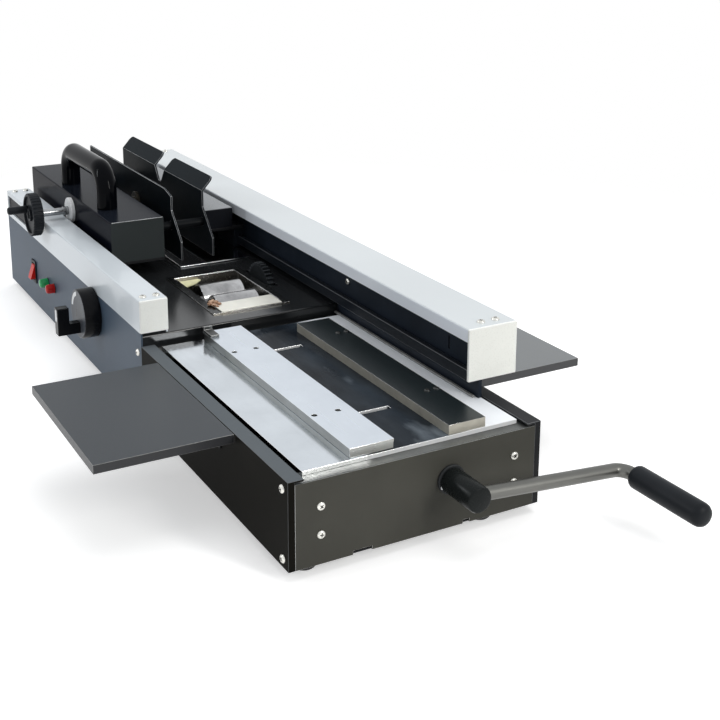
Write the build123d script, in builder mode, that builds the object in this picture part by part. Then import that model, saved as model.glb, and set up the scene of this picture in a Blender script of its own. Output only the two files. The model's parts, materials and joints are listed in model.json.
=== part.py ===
from build123d import *
import os
from math import cos, pi, radians, sin

os.makedirs("parts", exist_ok=True)

# A desktop hot-glue perfect binding machine, in millimetres.
# X runs along the machine to the crank end, Y from the control side to the back, Z up.
# The origin is at the middle of the whole machine's footprint, on the table.

# Clearances
shaft_gap = 0.05
slide_gap = 0.3

# Cabinet
length = 990.0
width = 276.0
station_l = 380.0
station_h = 88.0
case_h = 103.0
deck_drop = 3.0
sheet = 2.0
flange_w = 16.0
return_w = 7.0
near_panel_drop = 4.0
notch_h = 4.0
notches = ((66.0, 20.0), (186.5, 7.5))
foot_h = 10.0
foot_r = 12.0
foot_inset = 22.0
foot_front_in = 26.0
foot_back_in = 56.0

# Screws
screw_r = 2.0
screw_l = 6.0
screw_head_r = 4.3
screw_head_h = 2.4
jaw_screw_head_r = 3.3
jaw_screw_head_h = 1.6
near_screw_in = (32.6, 31.3)
near_screw_z = (58.0, 30.0)
side_screw_in = 10.5
side_screw_z = (78.0, 9.5)

# Beams on top of the case
cap_t = 3.0
front_beam_w = 33.5
front_beam_h = 38.4
front_rail_wall = 3.0
window_inset = 3.0
window_l = 105.0
window_h = 25.0
beam_overhang = 72.0
rear_beam_in = 38.0
rear_beam_w = 59.0
rear_beam_h = 56.0
rear_beam_lift = 6.0
lip_h = 14.0
beam_bend_r = 1.8
beam_screw_in = 15.0
front_beam_screw_y = (9.0, 25.0)
rear_beam_screw_y = (24.0, 42.0)

# Guide rail under the rear beam
rail_wall_in = 23.0
rail_wall_t = 4.0
rail_foot_w = 14.0
rail_foot_t = 3.0
rail_head_d = 6.0
rail_head_h = 12.0
rail_neck_d = 4.0
rail_neck_h = 6.0
rail_lift = 6.0
wall_slot_x = 131.0
wall_slot_w = 3.0
wall_slot_h = 15.0
wall_slot_lift = 5.0
wall_screw_x = 353.0
wall_screw_lift = 35.0

# Spine plate on the deck
spine_gap = 37.0
spine_y = 136.0
spine_back_in = 40.0
spine_t = 2.0

# Glue unit, measured from the near end of the case and from the back
tank_in = 37.0
tank_l = 145.0
tank_back_in = 82.0
tank_w = 85.0
tank_wall = 2.0
tank_depth = 46.0
rim_w = 8.0
rim_t = 1.5
tank_clear = 2.0
roller_in = 89.0
roller_r = 20.0
roller_l = 57.0
roller_end_gap = 14.0
roller_proud = 3.0
roller_shaft_r = 5.0
heater_t = 6.0
heater_in = 12.0
blade_t = 1.5
blade_reach = 24.0
blade_end_in = 3.0
blade_lip_run = 6.0
blade_lip_drop = 14.0
blade_lip_w = 1.6
shaft_out = 4.0

# Gears
gear_module = 2.0
addendum = 0.8
dedendum = 1.2
tooth_root = 1.0
tooth_foot = 1.6
tooth_tip = 0.65
small_teeth = 12
drive_teeth = 36
small_gear_t = 6.5
drive_gear_t = 8.0
gear_gap = 2.0
gear_boss_r = 9.0
gear_boss_l = 6.5
motor_r = 20.0
motor_gap = 5.0
motor_back_gap = 12.0
motor_foot_in = 5.0
motor_foot_w = 30.0
pinion_shaft_r = 4.0
pinion_engage = 12.0

# Nipping station
plate_t = 4.5
plate_near_in = 14.0
plate_far_in = 10.0
plate_front_in = 21.0
plate_back_in = 19.0
bar_w = 20.0
bar_h = 9.5
jaw_t = 10.0
jaw_top_t = 3.5
jaw_step = 0.8
jaw_near_in = 15.0
left_jaw_l = 351.0
left_jaw_y = 70.0
left_jaw_w = 47.0
right_jaw_l = 326.0
right_jaw_y = 178.0
right_jaw_w = 42.0
right_jaw_screw_x = (97.0, 289.0)
right_jaw_screw_y = (27.0, 38.0)
left_jaw_hole_x = (82.0, 275.0)
left_jaw_hole_y = (6.0, 32.0)
jaw_hole_r = 3.0
nip_least = 2.9
jaw_slots = (100.0, 297.0)
slot_w = 6.0
slot_end_gap = 2.0
stop_l = 24.0
stop_w = 10.0
stop_t = 3.0
stop_h = 7.0

# Crank and its racks
crank_y = 171.0
crank_z = 61.0
crank_shaft_r = 7.0
crank_droop = 5.0
hub_r = 13.0
hub_l = 47.0
hub_cap_t = 4.0
crank_flange_r = 15.0
crank_flange_t = 3.0
arm_out = 38.0
arm_r = 7.0
arm_l = 181.0
arm_bend_r = 14.0
grip_start = 57.0
grip_l = 95.0
grip_r = 12.0
spindle_r = 5.0
grip_end_t = 4.0
bearing_w = 40.0
bearing_t = 18.0
bearing_head = 20.0
bearing_near_in = 22.0
bearing_far_in = 327.0
collar_r = 10.0
collar_t = 5.0
pinion_teeth = 18
pinion_t = 12.0
rack_tooth_w = 14.0
rack_bar_w = 23.0
rack_bar_h = 12.6
post_in = 16.0
rack_tail = 19.0
post_w = 4.0
post_d = 16.0

# Cover tables
tray_near_in = 115.0
tray_l = 210.0
tray_d = 138.0
tray_h = 9.0
tray_sheet = 1.5
tray_gap = 1.0
tray_hinge_in = 40.0
hinge_out = 7.0
hinge_drop = 8.0
hinge_pin_r = 2.0
hinge_pin_out = 3.0
knuckle_r = 4.5
knuckle_w = 6.0
bracket_w = 10.0
bracket_h = 26.0

# Controls on the case front, measured from the far end and the feet
rocker_x = 145.0
rocker_z = 51.0
rocker_w = 22.0
rocker_h = 33.0
rocker_rim = 3.0
rocker_rim_t = 2.0
rocker_body_d = 16.0
rocker_wall = 1.0
rocker_pivot_d = 4.0
rocker_pin_r = 1.5
button_gap = 0.6
button_end_gap = 2.3
button_out_top = 2.5
button_out_low = 9.0
lamp_x = (215.0, 248.0)
lamp_z = (53.0, 54.0)
lamp_rim_r = 7.2
lamp_rim_t = 1.0
lamp_lens_r = 6.5
lamp_out = 12.5
lamp_body_r = 5.0
lamp_body_l = 18.0
knob_x = 434.0
knob_z = 77.0
knob_r = 31.5
knob_t = 20.0
knob_gap = 1.0
knob_grip_w = 14.0
knob_grip_out = 28.0
knob_grip_gap = 13.0
knob_grip_top = 12.0
knob_grip_ledge = 9.5
knob_grip_low = 23.5
knob_shaft_r = 4.0
knob_shaft_l = 12.0
inlet_y = 60.0
inlet_z = 40.0
inlet_w = 30.0
inlet_h = 24.0
inlet_t = 3.0
inlet_body_l = 20.0
inlet_wall = 2.5
inlet_pins = ((-7.0, -2.0), (0.0, 2.5), (7.0, -2.0))
inlet_pin_w = 2.0
inlet_pin_h = 4.0
inlet_pin_l = 12.0

# Clamp carriage, parked at the far end, with its lengths measured from there
box_l = 386.0
box_y = 41.0
box_w = 72.0
box_h = 55.0
box_z = 130.0
frame_t = 4.0
frame_step = 14.0
web_gap = 2.0
rear_box_in = 51.0
rear_box_clear = 20.0
rear_box_h = 28.0
block_l = 60.0
block_wall = 5.7
block_low = 4.0
block_gap = 0.5
block_end_in = 5.0
jaw_plate_t = 2.5
front_jaw_y = 138.0
back_jaw_y = 183.0
clamp_bottom = 120.0
clamp_top = 207.0
front_clamp_out = 12.0
back_clamp_in = 15.0
clamp_low_in = 5.0
clamp_high_in = 39.0
clamp_slant_low = 145.0
clamp_slant_high = 181.0
clamp_corner_l = 25.0
clamp_corner_h = 6.0
tab_fold = 204.0
tab_lean = 42.0
tab_flange = 24.0
tab_round = 8.0
tab_gap = 40.0
tab_notch_z = 184.0
tab_notch_w = 10.0
rod_r = 6.0
rod_in = (25.0, 41.0)
rod_z = 160.0
screw_in = 208.5
screw_z = 162.7
hand_screw_r = 5.0
hand_screw_end = 116.0
collar_out_r = 6.2
collar_out_l = 7.7
collar_in_r = 8.0
collar_in_l = 4.7
disc_r = 18.0
disc_t = 5.0
nut_r = 9.0
nut_l = 69.0
nut_flange_r = 16.0
nut_flange_t = 4.0
wheel_r = 30.0
wheel_t = 14.5
wheel_front = -20.0
wheel_rim = 4.0
wheel_recess = 3.0
wheel_hub_r = 9.0
stub_offset = 16.0
stub_angle = 163.0
stub_r = 5.4
stub_l = 25.0
stub_pin_r = 2.5
stub_pin_l = 8.0
handle_y = 62.0
handle_in = (140.0, 308.0)
handle_h = 64.0
handle_r = 13.5
handle_bend = 28.0

# Where things stand
near = (length + beam_overhang - grip_start - grip_l) / 2
far = near - length
mid = near - station_l
front = -width / 2
back = width / 2
pan_top = foot_h + sheet
station_top = foot_h + station_h
panel_top = foot_h + case_h
deck_top = panel_top - deck_drop
deck_under = deck_top - sheet
front_beam_top = panel_top + front_beam_h
rear_far = far - beam_overhang
rear_near = near - beam_overhang
rear_beam_front = back - rear_beam_in
rear_beam_back = rear_beam_front + rear_beam_w
rear_beam_low = panel_top + rear_beam_lift
rear_beam_top = rear_beam_low + rear_beam_h
wall_front = back - rail_wall_in
rail_z = deck_top + rail_lift
plate_low = station_top - plate_t
tooth_h = gear_module * (addendum + dedendum)
jaw_travel = right_jaw_y - left_jaw_y - left_jaw_w - nip_least

near_screws = [
    ((near, y, foot_h + z), (1, 0, 0))
    for y in (front + near_screw_in[0], back - near_screw_in[1])
    for z in near_screw_z
]
side_screws = [((near - side_screw_in, front, foot_h + z), (0, -1, 0)) for z in side_screw_z]
case_screws = [((mid - side_screw_in, front, foot_h + z), (0, -1, 0)) for z in side_screw_z]
front_beam_screws = [
    ((x, front + y, front_beam_top), (0, 0, 1))
    for x in (mid - beam_screw_in, far + beam_screw_in)
    for y in front_beam_screw_y
]
rear_beam_screws = [
    ((x, rear_beam_front + y, rear_beam_top), (0, 0, 1))
    for x in (rear_near - beam_screw_in, rear_far + beam_screw_in)
    for y in rear_beam_screw_y
]
wall_screws = [((near - wall_screw_x, wall_front, deck_top + wall_screw_lift), (0, -1, 0))]
right_jaw_screws = [
    ((near - x, front + right_jaw_y + y, station_top + jaw_t), (0, 0, 1))
    for x in right_jaw_screw_x
    for y in right_jaw_screw_y
]


def block(x0, x1, y0, y1, z0, z1, mode=Mode.ADD):
    """Add or cut a box between two corners."""
    with Locations((x0, y0, z0)):
        Box(x1 - x0, y1 - y0, z1 - z0, align=(Align.MIN, Align.MIN, Align.MIN), mode=mode)


def rod(at, direction, radius, long, mode=Mode.ADD):
    """Add or cut a round bar that starts at a point and runs one way."""
    with BuildSketch(Plane(origin=at, z_dir=direction)) as section:
        Circle(radius)
    extrude(section.sketch, amount=long, mode=mode)


def side_plane(x, y, z):
    """A plane seen from the front, X right and Z up, that extrudes towards the front."""
    return Plane(origin=(x, y, z), x_dir=(1, 0, 0), z_dir=(0, -1, 0))


def end_plane(x, y, z):
    """A plane seen from the crank end, Y right and Z up, that extrudes towards the crank."""
    return Plane(origin=(x, y, z), x_dir=(0, 1, 0), z_dir=(1, 0, 0))


def screw_holes(screws):
    """Cut the clearance holes of some screws."""
    for at, out in screws:
        rod(at, tuple(-c for c in out), screw_r + shaft_gap, screw_l, mode=Mode.SUBTRACT)


def top_front_edge(piece):
    """The edge along X that is highest and nearest the front."""
    return piece.edges().filter_by(Axis.X).group_by(Axis.Z)[-1].group_by(Axis.Y)[0]


def gear(plane, teeth, first_angle, thickness):
    """Add a spur gear with slim straight teeth, one of them at the first angle."""
    root = gear_module * (teeth / 2 - dedendum)
    with BuildSketch(plane) as section:
        Circle(root)
        with PolarLocations(root, teeth, start_angle=first_angle):
            Polygon(
                (-tooth_root, -tooth_foot),
                (tooth_h, -tooth_tip),
                (tooth_h, tooth_tip),
                (-tooth_root, tooth_foot),
                align=None,
            )
    extrude(section.sketch, amount=thickness)


# Base pan under the whole cabinet
with BuildPart() as base_pan:
    block(far + sheet, near - sheet, front + sheet, back - sheet, foot_h, pan_top)
base_pan.part.label = "base_pan"
export_step(base_pan.part, "parts/base_pan.step")

# Rubber feet in three rows
foot_places = [
    (x, y)
    for x in (near - foot_inset, mid, far + foot_inset)
    for y in (front + foot_front_in, back - foot_back_in)
]
with BuildPart() as feet:
    with BuildSketch(Plane.XY):
        with Locations(*foot_places):
            Circle(foot_r)
    extrude(amount=foot_h)
    chamfer(feet.edges().group_by(Axis.Z)[0], length=1.5)
feet.part.label = "feet"
export_step(feet.part, "parts/feet.step")

# Case front panel with the openings of the controls
rocker_at = (far + rocker_x, front, foot_h + rocker_z)
lamp_at = [(far + x, front, foot_h + z) for x, z in zip(lamp_x, lamp_z)]
knob_at = (far + knob_x, front, foot_h + knob_z)
bezel_body_w = rocker_w - 2 * (rocker_rim - rocker_wall)
bezel_body_h = rocker_h - 2 * rocker_rim
with BuildPart() as case_front_panel:
    block(far, mid, front, front + sheet, foot_h, panel_top)
    with BuildSketch(side_plane(*rocker_at)):
        Rectangle(bezel_body_w + 2 * shaft_gap, bezel_body_h + 2 * shaft_gap)
    extrude(amount=-sheet, mode=Mode.SUBTRACT)
    for at in lamp_at:
        rod(at, (0, 1, 0), lamp_body_r + shaft_gap, sheet, mode=Mode.SUBTRACT)
    rod(knob_at, (0, 1, 0), knob_shaft_r + shaft_gap, sheet, mode=Mode.SUBTRACT)
    screw_holes(case_screws)
case_front_panel.part.label = "case_front_panel"
export_step(case_front_panel.part, "parts/case_front_panel.step")

# Rear panel in one sheet with the far end
inlet_at = (far, front + inlet_y, foot_h + inlet_z)
with BuildPart() as rear_panel:
    block(far, mid, back - sheet, back, foot_h, deck_under)
    block(mid, near, back - sheet, back, foot_h, station_top)
    block(mid, near, back - flange_w, back, station_top - sheet, station_top)
    block(near - sheet, near, back - return_w, back, foot_h, station_top)
    block(far, far + sheet, front + sheet, back, foot_h, deck_under)
    with BuildSketch(end_plane(*inlet_at)):
        Rectangle(inlet_w - 2 * inlet_wall + 2 * shaft_gap, inlet_h - 2 * inlet_wall + 2 * shaft_gap)
    extrude(amount=sheet, mode=Mode.SUBTRACT)
rear_panel.part.label = "rear_panel"
export_step(rear_panel.part, "parts/rear_panel.step")

# Mains inlet in the far end, with its socket open to the outside
with BuildPart() as power_inlet:
    with BuildSketch(end_plane(inlet_at[0] - inlet_t, inlet_at[1], inlet_at[2])):
        RectangleRounded(inlet_w, inlet_h, 2)
    extrude(amount=inlet_t)
    with BuildSketch(end_plane(*inlet_at)):
        Rectangle(inlet_w - 2 * inlet_wall, inlet_h - 2 * inlet_wall)
    extrude(amount=inlet_body_l)
    with BuildSketch(end_plane(inlet_at[0] - inlet_t, inlet_at[1], inlet_at[2])):
        Rectangle(inlet_w - 4 * inlet_wall, inlet_h - 4 * inlet_wall)
    extrude(amount=inlet_body_l + inlet_t - inlet_wall, mode=Mode.SUBTRACT)
    with BuildSketch(end_plane(far + inlet_body_l - inlet_wall, inlet_at[1], inlet_at[2])):
        with Locations(*inlet_pins):
            Rectangle(inlet_pin_w, inlet_pin_h)
    extrude(amount=-inlet_pin_l)
power_inlet.part.label = "power_inlet"
export_step(power_inlet.part, "parts/power_inlet.step")

# Deck between the beams, folded down at its near edge
tank_near = mid - tank_in
tank_far = tank_near - tank_l
tank_back = back - tank_back_in
tank_front = tank_back - tank_w
roller_2_x = mid - roller_in
drive_gear_x = roller_2_x - 2 * gear_module * small_teeth
drive_gear_out = gear_module * (drive_teeth / 2 + addendum)
small_gear_front = tank_back + gear_gap
drive_gear_front = small_gear_front + small_gear_t + gear_boss_l
drive_gear_back = drive_gear_front + drive_gear_t
with BuildPart() as deck_plate:
    block(far, mid, front + sheet, back, deck_under, deck_top)
    block(mid - sheet, mid, front + sheet, back - sheet, pan_top, deck_under)
    block(tank_far - tank_clear, tank_near + tank_clear, tank_front - tank_clear, tank_back + tank_clear,
          deck_under, deck_top, mode=Mode.SUBTRACT)
    block(drive_gear_x - drive_gear_out - gear_gap, drive_gear_x + drive_gear_out + gear_gap,
          drive_gear_front - gear_gap, drive_gear_back + gear_gap, deck_under, deck_top, mode=Mode.SUBTRACT)
    fillet(deck_plate.edges().filter_by(Axis.Y).group_by(Axis.Z)[-1].group_by(Axis.X)[-1], radius=beam_bend_r)
deck_plate.part.label = "deck_plate"
export_step(deck_plate.part, "parts/deck_plate.step")

# Levelling plate that the spine is knocked up on
with BuildPart() as spine_plate:
    block(far + sheet, tank_far - rim_w - spine_gap, front + spine_y, back - spine_back_in, deck_top,
          deck_top + spine_t)
spine_plate.part.label = "spine_plate"
export_step(spine_plate.part, "parts/spine_plate.step")

# Nipping station panels
with BuildPart() as station_front_panel:
    block(mid, near, front, front + sheet, foot_h, station_top)
    block(mid, near, front, front + flange_w, station_top - sheet, station_top)
    block(near - sheet, near, front, front + return_w, foot_h, station_top)
    screw_holes(side_screws)
station_front_panel.part.label = "station_front_panel"
export_step(station_front_panel.part, "parts/station_front_panel.step")

crank_at = (near, front + crank_y, crank_z)
with BuildPart() as station_near_panel:
    block(near - sheet, near, front + return_w, back - return_w, foot_h, station_top - near_panel_drop)
    for notch_y, notch_w in notches:
        block(near - sheet, near, front + notch_y, front + notch_y + notch_w, foot_h, foot_h + notch_h,
              mode=Mode.SUBTRACT)
    rod(crank_at, (-1, 0, 0), crank_shaft_r + 1, sheet, mode=Mode.SUBTRACT)
    screw_holes(near_screws)
station_near_panel.part.label = "station_near_panel"
export_step(station_near_panel.part, "parts/station_near_panel.step")

# Cross bars that carry the base plate at both ends
with BuildPart() as cross_bars:
    block(near - sheet - bar_w, near - sheet, front + sheet, back - sheet, plate_low - bar_h, plate_low)
    block(mid, mid + bar_w, front + sheet, back - sheet, plate_low - bar_h, plate_low)
    screw_holes(side_screws)
cross_bars.part.label = "cross_bars"
export_step(cross_bars.part, "parts/cross_bars.step")

# Polished base plate with the slots of the jaw posts
post_front = front + left_jaw_y + post_in
post_back = post_front + post_d
with BuildPart() as station_base_plate:
    block(mid + plate_far_in, near - plate_near_in, front + plate_front_in, back - plate_back_in,
          plate_low, station_top)
    for x in jaw_slots:
        block(near - x - slot_w / 2, near - x + slot_w / 2, post_front - slot_end_gap,
              post_back + jaw_travel + slot_end_gap, plate_low, station_top, mode=Mode.SUBTRACT)
station_base_plate.part.label = "station_base_plate"
export_step(station_base_plate.part, "parts/station_base_plate.step")

# Fixed right jaw
with BuildPart() as right_nip_jaw:
    block(near - jaw_near_in - right_jaw_l, near - jaw_near_in, front + right_jaw_y,
          front + right_jaw_y + right_jaw_w, station_top, station_top + jaw_t)
    screw_holes(right_jaw_screws)
right_nip_jaw.part.label = "right_nip_jaw"
export_step(right_nip_jaw.part, "parts/right_nip_jaw.step")

# Sliding left jaw: a ground plate with screw holes that overhangs its bar
left_jaw_low = station_top + slide_gap
left_jaw_top = left_jaw_low + jaw_t
left_jaw_near = near - jaw_near_in
left_jaw_far = left_jaw_near - left_jaw_l
left_jaw_front = front + left_jaw_y
with BuildPart() as left_nip_jaw:
    block(left_jaw_far, left_jaw_near, left_jaw_front, left_jaw_front + left_jaw_w, left_jaw_top - jaw_top_t,
          left_jaw_top)
    block(left_jaw_far, left_jaw_near - jaw_step, left_jaw_front + jaw_step, left_jaw_front + left_jaw_w,
          left_jaw_low, left_jaw_top - jaw_top_t)
    for x in left_jaw_hole_x:
        for y in left_jaw_hole_y:
            rod((left_jaw_near - x, left_jaw_front + y, left_jaw_top), (0, 0, -1), jaw_hole_r, jaw_t / 2,
                mode=Mode.SUBTRACT)
left_nip_jaw.part.label = "left_nip_jaw"
export_step(left_nip_jaw.part, "parts/left_nip_jaw.step")

# Small angle on the left jaw that stops the cover
with BuildPart() as cover_stop:
    block(left_jaw_far, left_jaw_far + stop_l, left_jaw_front, left_jaw_front + stop_w,
          left_jaw_top, left_jaw_top + stop_t)
    block(left_jaw_far, left_jaw_far + stop_t, left_jaw_front, left_jaw_front + stop_w,
          left_jaw_top, left_jaw_top + stop_h)
cover_stop.part.label = "cover_stop"
export_step(cover_stop.part, "parts/cover_stop.step")

# Racks under the base plate, each with a post up to the left jaw
pitch = pi * gear_module
pinion_r = gear_module * pinion_teeth / 2
rack_top = crank_z - pinion_r - gear_module * dedendum
rack_low = rack_top - rack_bar_h
rack_back = crank_at[1] + rack_tail
first_tooth = -round(jaw_travel / pitch) - 1
rack_teeth = [(crank_at[1] + (k - 0.5) * pitch, 0) for k in range(first_tooth, 3)]
with BuildPart() as jaw_racks:
    for x in jaw_slots:
        slot_x = near - x
        bar_near = slot_x + post_w / 2
        block(bar_near - rack_bar_w, bar_near, post_front, rack_back, rack_low, rack_top)
        block(slot_x - post_w / 2, bar_near, post_front, post_back, rack_low, left_jaw_low)
        with BuildSketch(end_plane(bar_near - rack_bar_w, 0, rack_top)):
            with Locations(*rack_teeth):
                Polygon(
                    (-tooth_foot, -tooth_root),
                    (tooth_foot, -tooth_root),
                    (tooth_tip, tooth_h),
                    (-tooth_tip, tooth_h),
                    align=None,
                )
        extrude(amount=rack_tooth_w)
jaw_racks.part.label = "jaw_racks"
export_step(jaw_racks.part, "parts/jaw_racks.step")

# Crank bearings: two blocks on the pan and the flange on the near panel
bearing_top = crank_z + bearing_head
with BuildPart() as crank_bearings:
    for x in (bearing_near_in, bearing_far_in):
        block(near - x - bearing_t, near - x, crank_at[1] - bearing_w / 2, crank_at[1] + bearing_w / 2,
              pan_top, bearing_top)
    rod(crank_at, (1, 0, 0), crank_flange_r, crank_flange_t)
    rod((near + crank_flange_t, crank_at[1], crank_at[2]), (-1, 0, 0), crank_shaft_r + shaft_gap,
        crank_flange_t + bearing_far_in + bearing_t, mode=Mode.SUBTRACT)
crank_bearings.part.label = "crank_bearings"
export_step(crank_bearings.part, "parts/crank_bearings.step")

# Crank shaft with a collar on each side of the near bearing
hub_far = near + crank_flange_t + slide_gap
shaft_near = hub_far + hub_l - hub_cap_t
shaft_far = near - bearing_far_in - bearing_t
with BuildPart() as crank_shaft:
    rod((shaft_far, crank_at[1], crank_at[2]), (1, 0, 0), crank_shaft_r, shaft_near - shaft_far)
    rod((near - bearing_near_in + slide_gap, crank_at[1], crank_at[2]), (1, 0, 0), collar_r, collar_t)
    rod((near - bearing_near_in - bearing_t - slide_gap, crank_at[1], crank_at[2]), (-1, 0, 0), collar_r,
        collar_t)
crank_shaft.part.label = "crank_shaft"
export_step(crank_shaft.part, "parts/crank_shaft.step")

with BuildPart() as crank_pinions:
    for x in jaw_slots:
        pinion_far = near - x + post_w / 2 - rack_bar_w + (rack_tooth_w - pinion_t) / 2
        gear(end_plane(pinion_far, crank_at[1], crank_at[2]), pinion_teeth, 270, pinion_t)
        rod((pinion_far, crank_at[1], crank_at[2]), (1, 0, 0), crank_shaft_r + shaft_gap, pinion_t,
            mode=Mode.SUBTRACT)
crank_pinions.part.label = "crank_pinions"
export_step(crank_pinions.part, "parts/crank_pinions.step")

# Crank arm, hanging a little below level, bent to the spindle of the grip
droop_cos = cos(radians(crank_droop))
droop_sin = sin(radians(crank_droop))
arm_dir = (0, droop_cos, -droop_sin)
arm_root = (near + arm_out, crank_at[1], crank_at[2])
arm_start = crank_shaft_r + 1
grip_at = (near + grip_start, crank_at[1] + arm_l * droop_cos, crank_at[2] - arm_l * droop_sin)
with BuildPart() as crank_hub:
    rod((hub_far, crank_at[1], crank_at[2]), (1, 0, 0), hub_r, hub_l)
    chamfer(crank_hub.edges().group_by(Axis.X)[-1], length=1.5)
    rod((hub_far, crank_at[1], crank_at[2]), (1, 0, 0), crank_shaft_r + shaft_gap, shaft_near - hub_far,
        mode=Mode.SUBTRACT)
    rod(arm_root, arm_dir, arm_r + shaft_gap, hub_r + 1, mode=Mode.SUBTRACT)
crank_hub.part.label = "crank_hub"
export_step(crank_hub.part, "parts/crank_hub.step")

arm_plane = Plane(origin=arm_root, x_dir=arm_dir, z_dir=(0, -droop_sin, -droop_cos))
with BuildPart() as crank_arm:
    with BuildLine(arm_plane) as arm_path:
        FilletPolyline(
            (arm_start, 0),
            (arm_l, 0),
            (arm_l, grip_start - arm_out - slide_gap),
            radius=arm_bend_r,
        )
    with BuildSketch(Plane(origin=arm_path.line @ 0, z_dir=arm_path.line % 0)):
        Circle(arm_r)
    sweep(path=arm_path.line)
    rod((grip_at[0] - 1, grip_at[1], grip_at[2]), (1, 0, 0), spindle_r, grip_l - grip_end_t)
crank_arm.part.label = "crank_arm"
export_step(crank_arm.part, "parts/crank_arm.step")

with BuildPart() as crank_grip:
    rod(grip_at, (1, 0, 0), grip_r, grip_l)
    fillet(crank_grip.edges().group_by(Axis.X)[-1], radius=3)
    fillet(crank_grip.edges().group_by(Axis.X)[0], radius=2)
    rod(grip_at, (1, 0, 0), spindle_r + shaft_gap, grip_l - grip_end_t, mode=Mode.SUBTRACT)
crank_grip.part.label = "crank_grip"
export_step(crank_grip.part, "parts/crank_grip.step")

# Front beam: black rail, light cover with a window at its far end
cover_far = far + cap_t
cover_near = mid - cap_t
front_beam_back = front + front_beam_w
with BuildPart() as front_rail:
    block(cover_far, cover_near, front + sheet, front_beam_back - sheet, deck_top, front_beam_top - sheet)
    block(cover_far, cover_near, front + sheet + front_rail_wall, front_beam_back - sheet - front_rail_wall,
          deck_top + front_rail_wall, front_beam_top - sheet - front_rail_wall, mode=Mode.SUBTRACT)
    screw_holes(front_beam_screws)
front_rail.part.label = "front_rail"
export_step(front_rail.part, "parts/front_rail.step")

window_z = panel_top + (front_beam_h - window_h) / 2
with BuildPart() as front_beam_cover:
    block(cover_far, cover_near, front, front + sheet, panel_top, front_beam_top)
    block(cover_far, cover_near, front, front_beam_back, front_beam_top - sheet, front_beam_top)
    block(cover_far, cover_near, front_beam_back - sheet, front_beam_back, deck_top, front_beam_top)
    block(cover_far + window_inset, cover_far + window_inset + window_l, front, front + sheet,
          window_z, window_z + window_h, mode=Mode.SUBTRACT)
    fillet(top_front_edge(front_beam_cover), radius=beam_bend_r)
    screw_holes(front_beam_screws)
front_beam_cover.part.label = "front_beam_cover"
export_step(front_beam_cover.part, "parts/front_beam_cover.step")

# Rear beam cover with its front lip and back wall
rear_cover_far = rear_far + cap_t
rear_cover_near = rear_near - cap_t
with BuildPart() as rear_beam_cover:
    block(rear_cover_far, rear_cover_near, rear_beam_front, rear_beam_back, rear_beam_top - sheet,
          rear_beam_top)
    block(rear_cover_far, rear_cover_near, rear_beam_front, rear_beam_front + sheet,
          rear_beam_top - lip_h, rear_beam_top)
    block(rear_cover_far, rear_cover_near, rear_beam_back - sheet, rear_beam_back, rear_beam_low,
          rear_beam_top)
    fillet(top_front_edge(rear_beam_cover), radius=beam_bend_r)
    screw_holes(rear_beam_screws)
rear_beam_cover.part.label = "rear_beam_cover"
export_step(rear_beam_cover.part, "parts/rear_beam_cover.step")

# End caps of both beams
with BuildPart() as beam_caps:
    for x in (far, mid - cap_t):
        block(x, x + cap_t, front, front_beam_back, panel_top, front_beam_top)
    for x in (rear_far, rear_near - cap_t):
        block(x, x + cap_t, rear_beam_front, rear_beam_back, rear_beam_low, rear_beam_top)
    fillet(beam_caps.edges().filter_by(Axis.X), radius=1.2)
beam_caps.part.label = "beam_caps"
export_step(beam_caps.part, "parts/beam_caps.step")

# Rail wall under the rear beam, standing on the deck and on the station plate
wall_back = wall_front + rail_wall_t
slot_at = near - wall_slot_x
slot_low = rail_z + rail_head_h + wall_slot_lift
with BuildPart() as rear_rail_wall:
    block(mid, rear_cover_near, wall_front, wall_back, station_top, rear_beam_top - sheet)
    block(far, mid, wall_front, wall_back, deck_top, rear_beam_top - sheet)
    block(rear_cover_far, far, wall_front, wall_back, rear_beam_low, rear_beam_top - sheet)
    block(far + cap_t, mid - cap_t, wall_back, wall_back + rail_foot_w, deck_top, deck_top + rail_foot_t)
    block(slot_at - wall_slot_w / 2, slot_at + wall_slot_w / 2, wall_front, wall_back,
          slot_low, slot_low + wall_slot_h, mode=Mode.SUBTRACT)
    screw_holes(wall_screws)
rear_rail_wall.part.label = "rear_rail_wall"
export_step(rear_rail_wall.part, "parts/rear_rail_wall.step")

# Guide rail with a T section, held by its neck
neck_front = wall_front - rail_neck_d
head_front = neck_front - rail_head_d
neck_z = rail_z + (rail_head_h - rail_neck_h) / 2
rail_far = rear_cover_far + 1
rail_near = rear_cover_near - 1
with BuildPart() as rear_rail:
    block(rail_far, rail_near, head_front, neck_front, rail_z, rail_z + rail_head_h)
    block(rail_far, rail_near, neck_front, wall_front, neck_z, neck_z + rail_neck_h)
rear_rail.part.label = "rear_rail"
export_step(rear_rail.part, "parts/rear_rail.step")

# Glue tank, its rim on the deck, with the idler stud on its back wall
tank_low = deck_top - tank_depth - tank_wall
roller_z = deck_top + roller_proud - roller_r
roller_1_x = drive_gear_x
idler_x = (roller_1_x + roller_2_x) / 2
with BuildPart() as glue_tank:
    block(tank_far, tank_near, tank_front, tank_back, tank_low, deck_top)
    block(tank_far - rim_w, tank_near + rim_w, tank_front - rim_w, tank_back + rim_w, deck_top,
          deck_top + rim_t)
    block(tank_far + tank_wall, tank_near - tank_wall, tank_front + tank_wall, tank_back - tank_wall,
          tank_low + tank_wall, deck_top + rim_t, mode=Mode.SUBTRACT)
    for x in (roller_1_x, roller_2_x):
        rod((x, tank_front, roller_z), (0, 1, 0), roller_shaft_r + shaft_gap, tank_w, mode=Mode.SUBTRACT)
    rod((idler_x, tank_back, roller_z), (0, 1, 0), pinion_shaft_r, gear_gap + small_gear_t)
glue_tank.part.label = "glue_tank"
export_step(glue_tank.part, "parts/glue_tank.step")

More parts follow.
